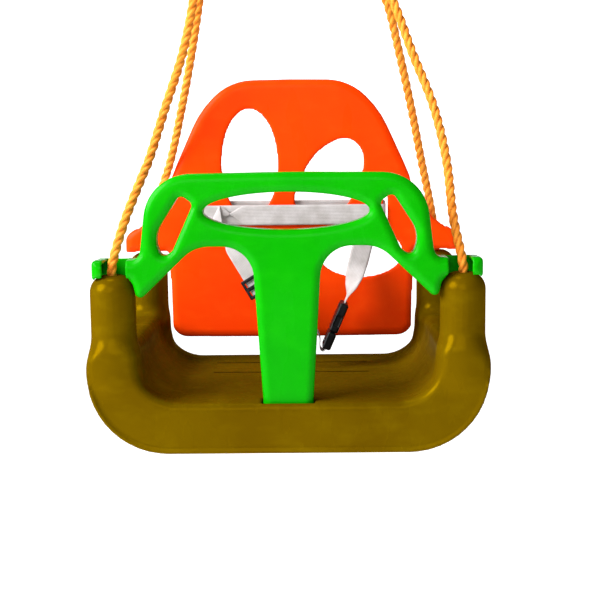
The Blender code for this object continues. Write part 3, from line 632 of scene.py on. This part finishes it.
def backrest():
    """The backrest: a shallow tray with soft edges, its holes cut through the face."""
    half = [
        (0, 0.4080, 0),
        (0.0740, 0.4070, 0.070),
        (0.1120, 0.3700, 0.120),
        (0.1420, 0.3050, 0.200),
        (0.1670, 0.2450, 0.090),
        (0.2090, 0.2150, 0.014),
        (0.2090, ARM_BOTTOM, 0),
        (0.1555, ARM_BOTTOM, 0.004),
        (0.1525, 0.0860, 0.020),
        (0, 0.0850, 0),
    ]
    leaf = [
        (0.0065, 0.2570),
        (0.0180, 0.2930),
        (0.0385, 0.3200),
        (0.0690, 0.3340),
        (0.0860, 0.3235),
        (0.0905, 0.3020),
        (0.0700, 0.2530),
        (0.0510, 0.2350),
        (0.0230, 0.2340),
    ]
    holes = [
        ellipse(-0.0505, 0.3045, 0.0340, 0.0665),
        [p.to_2d() for p in smooth_line([(x, z, 0) for x, z in leaf], 0.004, closed=True)],
        ellipse(0.0870, 0.1920, 0.0520, 0.0300),
    ]
    back = BACK_FRONT + BACK_DEPTH
    space = Space((-0.214, BACK_FRONT - 0.004, 0.080), (0.214, back + 0.004, 0.413), BACK_CELL)
    flat = space.outline(rounded(mirrored(half)))
    solid = space.slab(flat, BACK_FRONT, back, 0.0018, shoulder=0.005, reach=0.010)
    inside = space.slab(flat + BACK_WALL, BACK_FRONT + BACK_WALL, back + 0.06, 0.002, 0.005, 0.010)
    solid = cut(solid, inside, 0.001)
    front, behind = BACK_FRONT - 0.02, BACK_FRONT + 0.016
    for hole in holes:
        solid = cut(solid, space.slab(space.outline(hole), front, behind), 0.0045)
    for side in SIDES.values():
        near, far = on_side(side, BELT_SLOT, BELT_SLOT + BELT_SLOT_WIDTH)
        solid = cut(solid, space.block((near, front, 0.2275), (far, behind, 0.2625), 0.001), 0.002)
        near, far = on_side(side, 0.150, 0.196)
        way = space.block((near, BACK_FRONT + BACK_WALL + GAP, 0.10), (far, back + 0.05, 0.288), 0.003)
        solid = cut(solid, way, 0.002)
    return skin("backrest", space, solid)


# -------- ropes, knots, thimbles and rings
def thimble_centre(side):
    return Vector((side * THIMBLE_X, 0, THIMBLE_HEIGHT))


def lean(side):
    """The direction up a side's rope plane."""
    return Vector((-side * math.sin(ROPE_LEAN), 0, math.cos(ROPE_LEAN)))


def rope_line(side_name, step):
    """A side's rope from the front tower's ceiling, over the thimble, to the rear tower's ceiling."""
    side = SIDES[side_name]
    strands = []
    for end in ("front_", "rear_"):
        x, y = TOWERS[end + side_name]
        start = TOWER_CEILING - 0.0017
        foot = [(x, y, start), (x, y, start + 0.009), (x, y, TOWER_TOP + 0.007)]
        strands.append(foot + STRANDS[end + side_name])
    radius = GROOVE_RADIUS + ROPE_RADIUS
    count = 48
    arc = []
    for k in range(count + 1):
        turn = ROPE_MEETS_GROOVE + (math.pi - 2 * ROPE_MEETS_GROOVE) * k / count
        level = Vector((0, -math.cos(turn), 0)) * radius
        arc.append(thimble_centre(side) + level + lean(side) * math.sin(turn) * radius)
    for strand, end, inner in ((strands[0], arc[0], arc[1]), (strands[1], arc[-1], arc[-2])):
        straight = (end - inner).normalized()
        strand += [end + straight * 0.016, end + straight * 0.008, end]
    front = smooth_line(strands[0], step)
    rear = smooth_line(strands[1], step)
    return evenly(front + arc[1:-1] + rear[::-1], step)


def laid_rope(name, line, radius, lay):
    """A three-strand rope along a line: three lobes that wind round it, each made of finer yarns."""
    around, yarns = 54, 6
    frames, normal = [], None
    for i, here in enumerate(line):
        ahead = (line[min(i + 1, len(line) - 1)] - line[max(i - 1, 0)]).normalized()
        if normal is None:
            normal = ahead.orthogonal().normalized()
        normal = (normal - ahead * normal.dot(ahead)).normalized()
        frames.append((here, normal.copy(), ahead.cross(normal)))
    lobe = radius * 0.56
    offset = radius - lobe
    points, maps, along = [], [], 0.0
    for i, (here, one, two) in enumerate(frames):
        if i:
            along += (here - frames[i - 1][0]).length
        wind = 2 * math.pi * along / lay
        for k in range(around):
            turn = 2 * math.pi * k / around
            local = (turn - wind + math.pi / 3) % (2 * math.pi / 3) - math.pi / 3
            reach = offset * math.cos(local) + math.sqrt(lobe**2 - (offset * math.sin(local)) ** 2)
            reach += 0.012 * radius * math.cos(yarns * 3 * local + 3 * wind)
            points.append(here + (one * math.cos(turn) + two * math.sin(turn)) * reach)
            maps.append((along / lay, 3 * local / (2 * math.pi)))
    return mapped(piece(name, points, tube_faces(len(frames), around)), "lay", maps)


def knot(name, x, y):
    """A stopper knot pulled tight: the rope's own strand tucked through itself, under its washer."""
    middle = Vector((x, y, (TOWER_CEILING + KNOT_BOTTOM) / 2))
    wide, tall, count = 0.0026, 0.0062, 120
    line = []
    for k in range(count + 1):
        turn = 2 * math.pi * (0.02 + 0.96 * k / count)
        aside = wide * (math.sin(turn) + 2 * math.sin(2 * turn))
        back = wide * (math.cos(turn) - 2 * math.cos(2 * turn))
        line.append(middle + Vector((aside, back, -tall * math.sin(3 * turn))))
    return laid_rope(name, line, KNOT_STRAND, KNOT_LAY)


def turned(name, profile, steps):
    """A closed profile of (radius, height) points turned about Z."""
    edges = [(i, (i + 1) % len(profile)) for i in range(len(profile))]
    obj = piece(name, [(r, 0, z) for r, z in profile], [], edges)
    screw = obj.modifiers.new("turn", "SCREW")
    screw.steps = steps
    screw.render_steps = steps
    screw.use_merge_vertices = True
    screw.merge_threshold = 0.00002
    screw.use_normal_flip = True
    return applied(obj)


def placed(obj, origin, x_axis, z_axis):
    """A piece built about its own origin, moved to where it belongs."""
    z_axis = Vector(z_axis).normalized()
    y_axis = z_axis.cross(Vector(x_axis)).normalized()
    turn = Matrix((y_axis.cross(z_axis), y_axis, z_axis)).transposed()
    obj.data.transform(Matrix.Translation(origin) @ turn.to_4x4())
    return obj


def thimble(name, side):
    """The grooved collar in a rope's bight, its rims rounded."""
    rope_at, groove, half = GROOVE_RADIUS + ROPE_RADIUS, ROPE_RADIUS + 0.0004, THIMBLE_HALF_WIDTH
    mouth = math.acos((rope_at - THIMBLE_RIM) / groove)
    soft = 0.0010
    profile = [
        (EYE_RADIUS, half - soft),
        (EYE_RADIUS + soft * 0.3, half - soft * 0.3),
        (EYE_RADIUS + soft, half),
        (THIMBLE_RIM - soft * 0.4, half),
        (THIMBLE_RIM, half - soft * 0.3),
    ]
    for k in range(17):
        turn = mouth * (1 - k / 8)
        profile.append((rope_at - groove * math.cos(turn), groove * math.sin(turn)))
    profile += [(r, -z) for r, z in reversed(profile[:5])]
    made = turned(name, profile, 72)
    axle = Vector((math.cos(ROPE_LEAN), 0, side * math.sin(ROPE_LEAN)))
    return placed(made, thimble_centre(side), Vector((0, 1, 0)).cross(axle), axle)


def ring(name, side):
    """A welded steel ring: round wire with a low, uneven weld bead at one side."""
    low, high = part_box("ring_" + name.split("_")[1])
    centre = (Vector(low) + Vector(high)) / 2 + DROP
    major, minor = 96, 28
    points = []
    for i in range(major):
        turn = 2 * math.pi * i / major
        from_weld = (turn - side * 0.2 + math.pi) % (2 * math.pi) - math.pi
        wire = RING_WIRE * (1 + 0.055 * math.exp(-((from_weld / 0.07) ** 2)))
        for k in range(minor):
            tilt = 2 * math.pi * k / minor
            reach = RING_RADIUS + wire * math.cos(tilt)
            spot = Vector((reach * math.cos(turn), wire * math.sin(tilt), reach * math.sin(turn)))
            points.append(centre + spot)
    return piece(name, points, tube_faces(major, minor, closed=True))


# -------- the lap belt
def across(centre, direction, facing=(0, -1, 0)):
    """A strap's two edges at a point: left and right of its travel, seen from its facing side."""
    side = Vector(direction).cross(Vector(facing)).normalized() * WEBBING_WIDTH / 2
    return Vector(centre) - side, Vector(centre) + side


def fold(centre, arriving, leaving, y_first, y_last):
    """Sections through a flat fold: the strap arrives in one plane and leaves in another before it."""
    arriving, leaving = Vector(arriving).normalized(), Vector(leaving).normalized()
    line = (arriving + leaving).normalized()
    reach = WEBBING_WIDTH / 2 / math.sqrt(1 - arriving.dot(line) ** 2)
    ends = [Vector(centre) - line * reach, Vector(centre) + line * reach]
    if (ends[1] - ends[0]).cross(arriving).y > 0:
        ends.reverse()
    middle, room = (y_first + y_last) / 2, 0.003
    sections = []
    for shift, y in (
        (-arriving * room, y_first),
        (-arriving * 0.0006, y_first * 0.75 + y_last * 0.25),
        (Vector(), middle),
        (leaving * 0.0006, y_first * 0.25 + y_last * 0.75),
        (leaving * room, y_last),
    ):
        sections.append([Vector((p.x, y, p.z)) + Vector((shift.x, 0, shift.z)) for p in ends])
    return sections


def webbing_sections():
    """The belt from the buckle's socket, through the backrest and back, down to the slider."""
    top = BELT_LOW + WEBBING_WIDTH
    slot = BELT_SLOT + BELT_SLOT_WIDTH / 2
    middle = BELT_LOW + WEBBING_WIDTH / 2
    behind_right, inner, outer, before_left = 0.0985, 0.0965, 0.0935, 0.0915
    rear = BACK_FRONT + BACK_WALL + 0.0035
    high, low = top + BELT_RISE, BELT_LOW + BELT_RISE

    def upright(x, y, upper=top, lower=BELT_LOW):
        return [Vector((x, y, upper)), Vector((x, y, lower))]

    start = BUCKLE_TOP + BUCKLE_AXIS * 0.0006
    flat = Vector((LEFT_STRAP.x, 0, LEFT_STRAP.z))
    return [
        across(start, BUCKLE_AXIS, (-1, 0, 0)),
        across(start + BUCKLE_AXIS * 0.008, BUCKLE_AXIS, (-1, 0, 0)),
        across((0.0735, 0.066, 0.153), -RIGHT_STRAP, (-0.87, -0.5, 0)),
        across((0.0790, 0.072, 0.168), -RIGHT_STRAP, (-0.5, -0.87, 0)),
        across((0.0840, 0.080, 0.184), -RIGHT_STRAP),
        across((0.0910, 0.092, 0.2085), -RIGHT_STRAP),
        *fold((0.1005, 0, middle), -RIGHT_STRAP, (-1, 0, 0), behind_right, inner),
        *[upright(x, inner) for x in (0.060, 0.0, -0.060, -0.112)],
        upright(-slot + 0.0012, inner + 0.0012),
        upright(-slot, inner + 0.0035),
        upright(-slot, rear - 0.0022, high - 0.001, low - 0.001),
        upright(-slot + 0.0016, rear - 0.0006, high, low),
        *[upright(x, rear, high, low) for x in (-slot + 0.005, -0.05, 0.05, slot - 0.005)],
        upright(slot - 0.0016, rear - 0.0006, high, low),
        upright(slot, rear - 0.0022, high - 0.001, low - 0.001),
        upright(slot, inner + 0.0035),
        upright(slot - 0.0016, outer + 0.0010),
        *[upright(x, outer) for x in (slot - 0.006, 0.060, 0.0, -0.060)],
        *fold((-0.096, 0, middle), (-1, 0, 0), flat, outer, before_left),
        *[across(SLIDER_AT - LEFT_STRAP * up, LEFT_STRAP) for up in (0.056, 0.040, 0.020, 0.0)],
    ]


def tail_sections():
    """The adjustable end, from the slider round into the plug's lower end."""
    sections = [
        *[across(SLIDER_AT + LEFT_STRAP * down, LEFT_STRAP) for down in (0.0, 0.016)],
        across((-0.0150, 0.0690, 0.1300), LEFT_STRAP, (0.15, -1, 0.1)),
        across((0.0030, 0.0675, 0.1160), (0.7, 0, -0.7), (0.5, -0.8, 0.3)),
        across((0.0200, 0.0650, 0.1040), (0.75, 0, -0.65), (0.8, -0.35, 0.5)),
    ]
    sideways = Vector((-BUCKLE_AXIS.z, 0, BUCKLE_AXIS.x))
    back = Vector((0, WEBBING_WIDTH / 2, 0))
    for up, aside in (
        (0.0160, 0.0170),
        (0.0080, 0.0105),
        (0.0010, 0.0085),
        (-0.0035, 0.0060),
        (-0.0052, 0.0028),
        (-0.0040, 0.0004),
        (-0.0006, -0.0002),
    ):
        place = BUCKLE_BOTTOM + BUCKLE_AXIS * up + sideways * aside
        sections.append((place + back, place - back))
    return sections


def strap(name, sections, starts_at=0.0):
    """Woven webbing through the given edge pairs, with thin selvedges: the piece and its length."""
    spacing, strips = 0.0020, 10
    pairs = [(Vector(a), Vector(b)) for a, b in sections]
    dense = [pairs[0]]
    for (a0, b0), (a1, b1) in zip(pairs, pairs[1:]):
        reach = max((a1 - a0).length, (b1 - b0).length)
        count = max(1, round(reach / spacing))
        for k in range(1, count + 1):
            dense.append((a0.lerp(a1, k / count), b0.lerp(b1, k / count)))
    for _ in range(3):
        eased = [dense[0], dense[1]]
        for before, here, after in zip(dense[1:], dense[2:-1], dense[3:]):
            pair = []
            for n in (0, 1):
                middle = (before[n] + after[n]) / 2
                near = (before[n] - here[n]).length < 3 * spacing > (after[n] - here[n]).length
                pair.append(here[n].lerp(middle, 0.5) if near else here[n])
            eased.append(tuple(pair))
        dense = eased + [dense[-1]]
    middles = [(a + b) / 2 for a, b in dense]
    profile = []
    half = WEBBING_THICKNESS / 2
    for k in range(strips + 1):
        part = k / strips
        rim = min(part, 1 - part) * WEBBING_WIDTH
        profile.append((part, half * min(1, 0.45 + rim / 0.0016)))
    outline = profile + [(part, -height) for part, height in reversed(profile)]
    points, maps, along = [], [], starts_at
    for i, (a, b) in enumerate(dense):
        if i:
            along += (middles[i] - middles[i - 1]).length
        ahead = middles[min(i + 1, len(dense) - 1)] - middles[max(i - 1, 0)]
        normal = (b - a).cross(ahead).normalized()
        for part, height in outline:
            points.append(a.lerp(b, part) + normal * height)
            maps.append((part, along / WEBBING_WIDTH))
    obj = mapped(piece(name, points, tube_faces(len(dense), len(outline))), "weave", maps)
    bm = bmesh.new()
    bm.from_mesh(obj.data)
    bmesh.ops.recalc_face_normals(bm, faces=bm.faces)
    bm.to_mesh(obj.data)
    bm.free()
    return obj, along - starts_at


def grooved(space, solid, half_length, heights):
    """Grip grooves across both broad faces of half a buckle."""
    half_x = BUCKLE_THICKNESS / 2
    for z in heights:
        for face in (-1, 1):
            near, far = on_side(face, half_x - 0.0004, half_x + 0.01)
            groove = space.block((near, -half_length, z - 0.0006), (far, half_length, z + 0.0006))
            solid = cut(solid, groove, 0.0008)
    return solid


def buckle_socket():
    """The socket: a ribbed grip, a window for each prong, and a bar that the strap is sewn round."""
    half_x, half_y, length = BUCKLE_THICKNESS / 2, BUCKLE_WIDTH / 2, SOCKET_LENGTH
    low, high = (-half_x, -half_y, -length), (half_x, half_y, 0)
    space = Space([v - 0.002 for v in low], [v + 0.002 for v in high], BUCKLE_CELL)
    solid = space.block(low, high, 0.0028)
    solid = grooved(space, solid, 0.0085, [-0.0155 - 0.0032 * k for k in range(4)])
    in_x, in_y = half_x - 0.002, half_y - 0.0025
    mouth = space.block((-in_x, -in_y, -length - 0.01), (in_x, in_y, -0.0105), 0.001)
    solid = cut(solid, mouth, 0.0008)
    for side in (-1, 1):
        near, far = on_side(side, half_y - 0.0012, half_y + 0.01)
        window = space.block((-in_x, near, -0.030), (in_x, far, -0.016), 0.001)
        solid = cut(solid, window, 0.001)
    bar = space.block((-half_x - 0.01, -0.0135, -0.0075), (half_x + 0.01, 0.0135, -0.0040), 0.0008)
    solid = cut(solid, bar, 0.001)
    made = skin("buckle_socket_shell", space, solid)
    return placed(made, BUCKLE_TOP, (BUCKLE_AXIS.z, 0, -BUCKLE_AXIS.x), BUCKLE_AXIS)


def buckle_plug():
    """The plug: its block, two springy prongs and the tongue between them."""
    half_x, half_y = BUCKLE_THICKNESS / 2, BUCKLE_WIDTH / 2
    length = (BUCKLE_TOP - BUCKLE_BOTTOM).length - SOCKET_LENGTH - 0.0006
    low, high = (-half_x, -half_y, 0), (half_x, half_y, length)
    space = Space([v - 0.002 for v in low], (half_x + 0.002, half_y + 0.002, length + 0.022), BUCKLE_CELL)
    solid = space.block(low, high, 0.0028)
    thick = 0.0024
    prongs = ((0.0090, 0.0135, 0.019), (-0.0135, -0.0090, 0.019), (-0.0035, 0.0035, 0.016))
    for near, far, reach in prongs:
        prong = space.block((-thick, near, length - 0.006), (thick, far, length + reach), 0.0012)
        solid = join(solid, prong, 0.0015)
    slot = space.block((-half_x - 0.01, -0.0135, 0.0040), (half_x + 0.01, 0.0135, 0.0075), 0.0008)
    solid = cut(solid, slot, 0.001)
    solid = grooved(space, solid, 0.010, [0.0115 + 0.0028 * k for k in range(3)])
    made = skin("buckle_plug_shell", space, solid)
    return placed(made, BUCKLE_BOTTOM, (BUCKLE_AXIS.z, 0, -BUCKLE_AXIS.x), BUCKLE_AXIS)


def slider():
    """The three-bar slider, ribbed along its middle bar."""
    x, y, z = SLIDER_WIDTH / 2, SLIDER_LENGTH / 2, SLIDER_THICKNESS / 2
    space = Space((-x - 0.001, -y - 0.001, -z - 0.001), (x + 0.001, y + 0.001, z + 0.001), SLIDER_CELL)
    solid = space.block((-x, -y, -z), (x, y, z), 0.0012)
    for side in (-1, 1):
        near, far = on_side(side, 0.0025, 0.0090)
        solid = cut(solid, space.block((-0.0135, near, -0.01), (0.0135, far, 0.01), 0.0008), 0.0008)
    for k in range(-3, 4):
        rib_x = 0.0036 * k
        groove = space.block((rib_x - 0.0005, -0.0022, z - 0.0004), (rib_x + 0.0005, 0.0022, z + 0.01))
        solid = cut(solid, groove, 0.0006)
    made = skin("strap_slider", space, solid)
    width = LEFT_STRAP.cross(Vector((0, -1, 0))).normalized()
    facing = width.cross(LEFT_STRAP).normalized()
    if facing.y > 0:
        facing = -facing
    before = WEBBING_THICKNESS / 2 + GAP + z
    return placed(made, SLIDER_AT + facing * before, width, facing)


# -------- looks
class Look:
    """A material built node by node, its patterns worked out from the piece's own coordinates."""

    def __init__(self, name, roughness, metallic=0.0, gloss=0.5):
        self.material = bpy.data.materials.new(name)
        self.material.use_nodes = True
        self.tree = self.material.node_tree
        self.shader = self.tree.nodes["Principled BSDF"]
        self.shader.inputs["Roughness"].default_value = roughness
        self.shader.inputs["Metallic"].default_value = metallic
        self.shader.inputs["Specular IOR Level"].default_value = gloss
        self.place = self.node("TexCoord").outputs["Object"]

    def node(self, kind, sockets=None, **settings):
        made = self.tree.nodes.new("ShaderNode" + kind)
        for key, value in settings.items():
            setattr(made, key, value)
        for key, value in (sockets or {}).items():
            if isinstance(value, bpy.types.NodeSocket):
                self.tree.links.new(value, made.inputs[key])
            else:
                made.inputs[key].default_value = value
        return made

    def maths(self, operation, *values):
        made = self.node("Math", dict(enumerate(values)), operation=operation)
        return made.outputs[0]

    def noise(self, scale, detail, stretch=(1, 1, 1)):
        place = self.node("Mapping", {"Vector": self.place, "Scale": stretch}).outputs[0]
        sockets = {"Vector": place, "Scale": scale, "Detail": detail}
        return self.node("TexNoise", sockets).outputs["Fac"]

    def map_layer(self, name):
        """The two coordinates of a piece's map layer."""
        layer = self.node("UVMap", uv_map=name).outputs[0]
        return self.node("SeparateXYZ", {0: layer}).outputs[:2]

    def spread(self, value, low, high, to_low=0.0, to_high=1.0):
        sockets = {"Value": value, 1: low, 2: high, 3: to_low, 4: to_high}
        return self.node("MapRange", sockets).outputs[0]

    def mix(self, part, one, two):
        one, two = (c if isinstance(c, bpy.types.NodeSocket) else (*c, 1) for c in (one, two))
        return self.node("Mix", {0: part, 6: one, 7: two}, data_type="RGBA").outputs[2]

    def colour(self, socket):
        self.tree.links.new(socket, self.shader.inputs["Base Color"])

    def roughness(self, value, low, high):
        self.tree.links.new(self.spread(value, 0.35, 0.65, low, high), self.shader.inputs["Roughness"])

    def bump(self, height, distance, strength=1.0, under=None):
        sockets = {"Height": height, "Distance": distance, "Strength": strength}
        if under is not None:
            sockets["Normal"] = under
        made = self.node("Bump", sockets).outputs[0]
        self.tree.links.new(made, self.shader.inputs["Normal"])
        return made


def plastic(name, deep, middle, pale, roughness, gloss, lustre=0.0):
    """Moulded polyethylene: faint flow clouds, a fine orange-peel skin and a few dulled patches."""
    look = Look(name, roughness, lustre, gloss)
    clouds = look.spread(look.noise(11, 3), 0.25, 0.60)
    streaks = look.spread(look.noise(30, 4, (1, 1, 2.2)), 0.50, 0.95, 0.0, 0.5)
    colour = look.mix(streaks, look.mix(clouds, deep, middle), pale)
    look.roughness(look.noise(38, 5, (1, 1, 0.3)), roughness * 0.8, roughness * 1.35)
    flow = look.bump(look.noise(45, 2), 0.0006, 0.25)
    look.bump(look.noise(900, 1), 0.00005, 0.30, flow)
    return look, colour


def seat_look():
    """The seat's plastic, with painted shade for three shallow lines scored across the pan."""
    look, colour = plastic("seat_plastic", *SEAT_BROWN, roughness=0.24, gloss=0.0, lustre=0.16)
    look.shader.inputs["Specular Tint"].default_value = (*SEAT_TINT, 1)
    x, y, z = look.node("SeparateXYZ", {0: look.place}).outputs
    line = None
    # painted shade: dark lines stand in for the shade inside the pan's scored grooves
    for at in SCORE_LINES:
        gap = look.maths("ABSOLUTE", look.maths("SUBTRACT", y, at))
        near = look.spread(gap, SCORE_HALF_WIDTH, SCORE_HALF_WIDTH + 0.0013, 1.0, 0.0)
        line = near if line is None else look.maths("MAXIMUM", line, near)
    from_middle = look.maths("ABSOLUTE", x)
    across_pan = look.spread(from_middle, SCORE_REACH, SCORE_REACH + 0.003, 1.0, 0.0)
    line = look.maths("MULTIPLY", line, across_pan)
    pan = PAN_HEIGHT - ORIGIN_HEIGHT
    level = look.maths("ABSOLUTE", look.maths("SUBTRACT", z, pan))
    line = look.maths("MULTIPLY", line, look.spread(level, 0.0015, 0.0020, 1.0, 0.0))
    look.colour(look.mix(line, colour, SEAT_SCORE_SHADE))
    return look.material


def plain_plastic(name, deep, middle, pale, roughness, gloss):
    """A moulding's plastic of one colour all over."""
    look, colour = plastic(name, deep, middle, pale, roughness, gloss)
    look.colour(colour)
    return look.material


def rope_look():
    """Laid polypropylene: yarns across each strand, painted shade in the grooves between strands, with a
    soft fuzz.
    """
    look = Look("rope_fibre", 0.62, gloss=0.25)
    along, lobe = look.map_layer("lay")
    yarn = look.maths("ADD", look.maths("MULTIPLY", along, 150.0), look.maths("MULTIPLY", lobe, 22.0))
    yarn = look.spread(look.maths("SINE", yarn), -1.0, 1.0)
    # painted shade: each strand darkens towards its edges, in the grooves where shade falls
    groove = look.spread(look.maths("ABSOLUTE", lobe), 0.30, 0.50)
    colour = look.mix(look.spread(look.noise(160, 3), 0.35, 0.65), *ROPE_ORANGE)
    colour = look.mix(look.maths("MULTIPLY", yarn, 0.22), colour, ROPE_YARN_AND_GROOVE_SHADE)
    look.colour(look.mix(look.maths("MULTIPLY", groove, 0.75), colour, ROPE_YARN_AND_GROOVE_SHADE))
    under = look.bump(yarn, 0.0003, 0.7)
    look.bump(look.noise(2600, 2), 0.00016, 0.5, under)
    return look.material


def webbing_look():
    """Polyester webbing: ribs along it, crossed by the weft, with painted shade in the hollows of the
    weave.
    """
    look = Look("webbing", 0.78, gloss=0.2)
    wide, along = look.map_layer("weave")
    rib = look.maths("ABSOLUTE", look.maths("SINE", look.maths("MULTIPLY", wide, 14 * math.pi)))
    tilt = look.maths("MULTIPLY", look.maths("PINGPONG", wide, 0.143), 30.0)
    weft = look.maths("ADD", look.maths("MULTIPLY", along, 34 * math.pi), tilt)
    weft = look.maths("ABSOLUTE", look.maths("SINE", weft))
    height = look.maths("MULTIPLY", rib, look.maths("ADD", look.maths("MULTIPLY", weft, 0.6), 0.4))
    colour = look.mix(look.spread(look.noise(70, 4), 0.35, 0.68), *WEBBING_GREY)
    # painted shade: the weave's low places are darkened, as shade falls in them
    look.colour(look.mix(look.spread(height, 0.0, 0.5, 0.45, 0.0), colour, WEBBING_HOLLOW_SHADE))
    under = look.bump(height, 0.0003, 0.8)
    look.bump(look.noise(2400, 2), 0.0001, 0.4, under)
    return look.material


def steel_look():
    """Bright zinc on steel: fine drawing lines and dull patches."""
    look = Look("steel", 0.28, metallic=1.0)
    look.colour(look.mix(look.spread(look.noise(120, 4), 0.35, 0.7), *STEEL))
    look.roughness(look.noise(300, 4), 0.20, 0.46)
    look.bump(look.noise(1500, 3, (1, 4, 1)), 0.00004, 0.5)
    return look.material


LOOKS = {
    "seat_plastic": seat_look(),
    "guard_plastic": plain_plastic("guard_plastic", *GUARD_GREEN, roughness=0.24, gloss=0.06),
    "back_plastic": plain_plastic("back_plastic", *BACK_ORANGE, roughness=0.30, gloss=0.04),
    "rope_fibre": rope_look(),
    "webbing": webbing_look(),
    "black_plastic": plain_plastic("black_plastic", *BUCKLE_BLACK, roughness=0.36, gloss=0.25),
    "steel": steel_look(),
    "thimble_plastic": plain_plastic("thimble_plastic", *THIMBLE_GREY, roughness=0.42, gloss=0.45),
}


# -------- light and floor
def make_studio():
    """A white paper sweep that glows a little, three round lamps and a dim room."""
    scene = bpy.context.scene
    scene.view_settings.view_transform = "Standard"
    world = bpy.data.worlds.new("room")
    world.use_nodes = True
    world.node_tree.nodes["Background"].inputs[0].default_value = (1, 1, 1, 1)
    world.node_tree.nodes["Background"].inputs[1].default_value = ROOM_LIGHT
    scene.world = world
    for name, place, size, power in LAMPS:
        data = bpy.data.lights.new(name, "AREA")
        data.shape = "DISK"
        data.size = size
        data.energy = power
        lamp = link(data, name)
        aim = (LAMP_TARGET - Vector(place)).to_track_quat("-Z", "Y").to_matrix().to_4x4()
        lamp.matrix_world = Matrix.Translation(place) @ aim

    bend, back, floor = SWEEP_BEND, SWEEP_BACK, SWEEP_FLOOR
    profile = [(SWEEP_FRONT, floor), (back - bend, floor)]
    for k in range(1, 13):
        turn = math.pi / 2 * k / 12
        profile.append((back - bend + bend * math.sin(turn), floor + bend * (1 - math.cos(turn))))
    profile.append((back, SWEEP_TOP))
    points = [(x, y, z) for y, z in profile for x in (-SWEEP_HALF_WIDTH, SWEEP_HALF_WIDTH)]
    faces = [(2 * k, 2 * k + 1, 2 * k + 3, 2 * k + 2) for k in range(len(profile) - 1)]
    sweep = piece("sweep", points, faces)
    sweep.data.shade_smooth()
    paper = Look("paper", 0.9, gloss=0.1)
    paper.colour(paper.mix(paper.noise(2, 2), *PAPER))
    paper.shader.inputs["Emission Color"].default_value = (1, 1, 1, 1)
    paper.shader.inputs["Emission Strength"].default_value = PAPER_GLOW
    sweep.data.materials.append(paper.material)


# -------- the swing put together
make_camera()

for side_name, side in SIDES.items():
    line = rope_line(side_name, 0.0011)
    rope = laid_rope("laid_rope_" + side_name, line, ROPE_RADIUS, ROPE_LAY)
    finished(rope, "rope_fibre", "seat", "rope_" + side_name)
    collar = thimble("collar_" + side_name, side)
    finished(collar, "thimble_plastic", "seat", "thimble_" + side_name)
    for end in ("front_", "rear_"):
        lump = knot("stopper_" + end + side_name, *TOWERS[end + side_name])
        finished(lump, "rope_fibre", "seat", "knot_" + end + side_name)
    link_ring = ring("link_" + side_name, side)
    finished(link_ring, "steel", "hanger", "ring_" + side_name)

finished(seat(), "seat_plastic", "seat", "seat_shell")
finished(guard(), "guard_plastic", "guard", "guard_bar")
finished(backrest(), "back_plastic", "back", "backrest")

belt, belt_length = strap("belt", webbing_sections())
finished(belt, "webbing", "back", "belt_webbing")
tail, tail_length = strap("tail", tail_sections(), belt_length)
finished(tail, "webbing", None, "belt_tail")
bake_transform(tail)
finished(buckle_socket(), "black_plastic", "back", "buckle_socket")
finished(buckle_plug(), "black_plastic", "plug", "buckle_plug")
finished(slider(), "black_plastic", "slider", "belt_slider")

for end in TOWERS:
    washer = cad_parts["washer_" + end]
    washer.data.materials.clear()
    washer.data.materials.append(LOOKS["steel"])

make_studio()
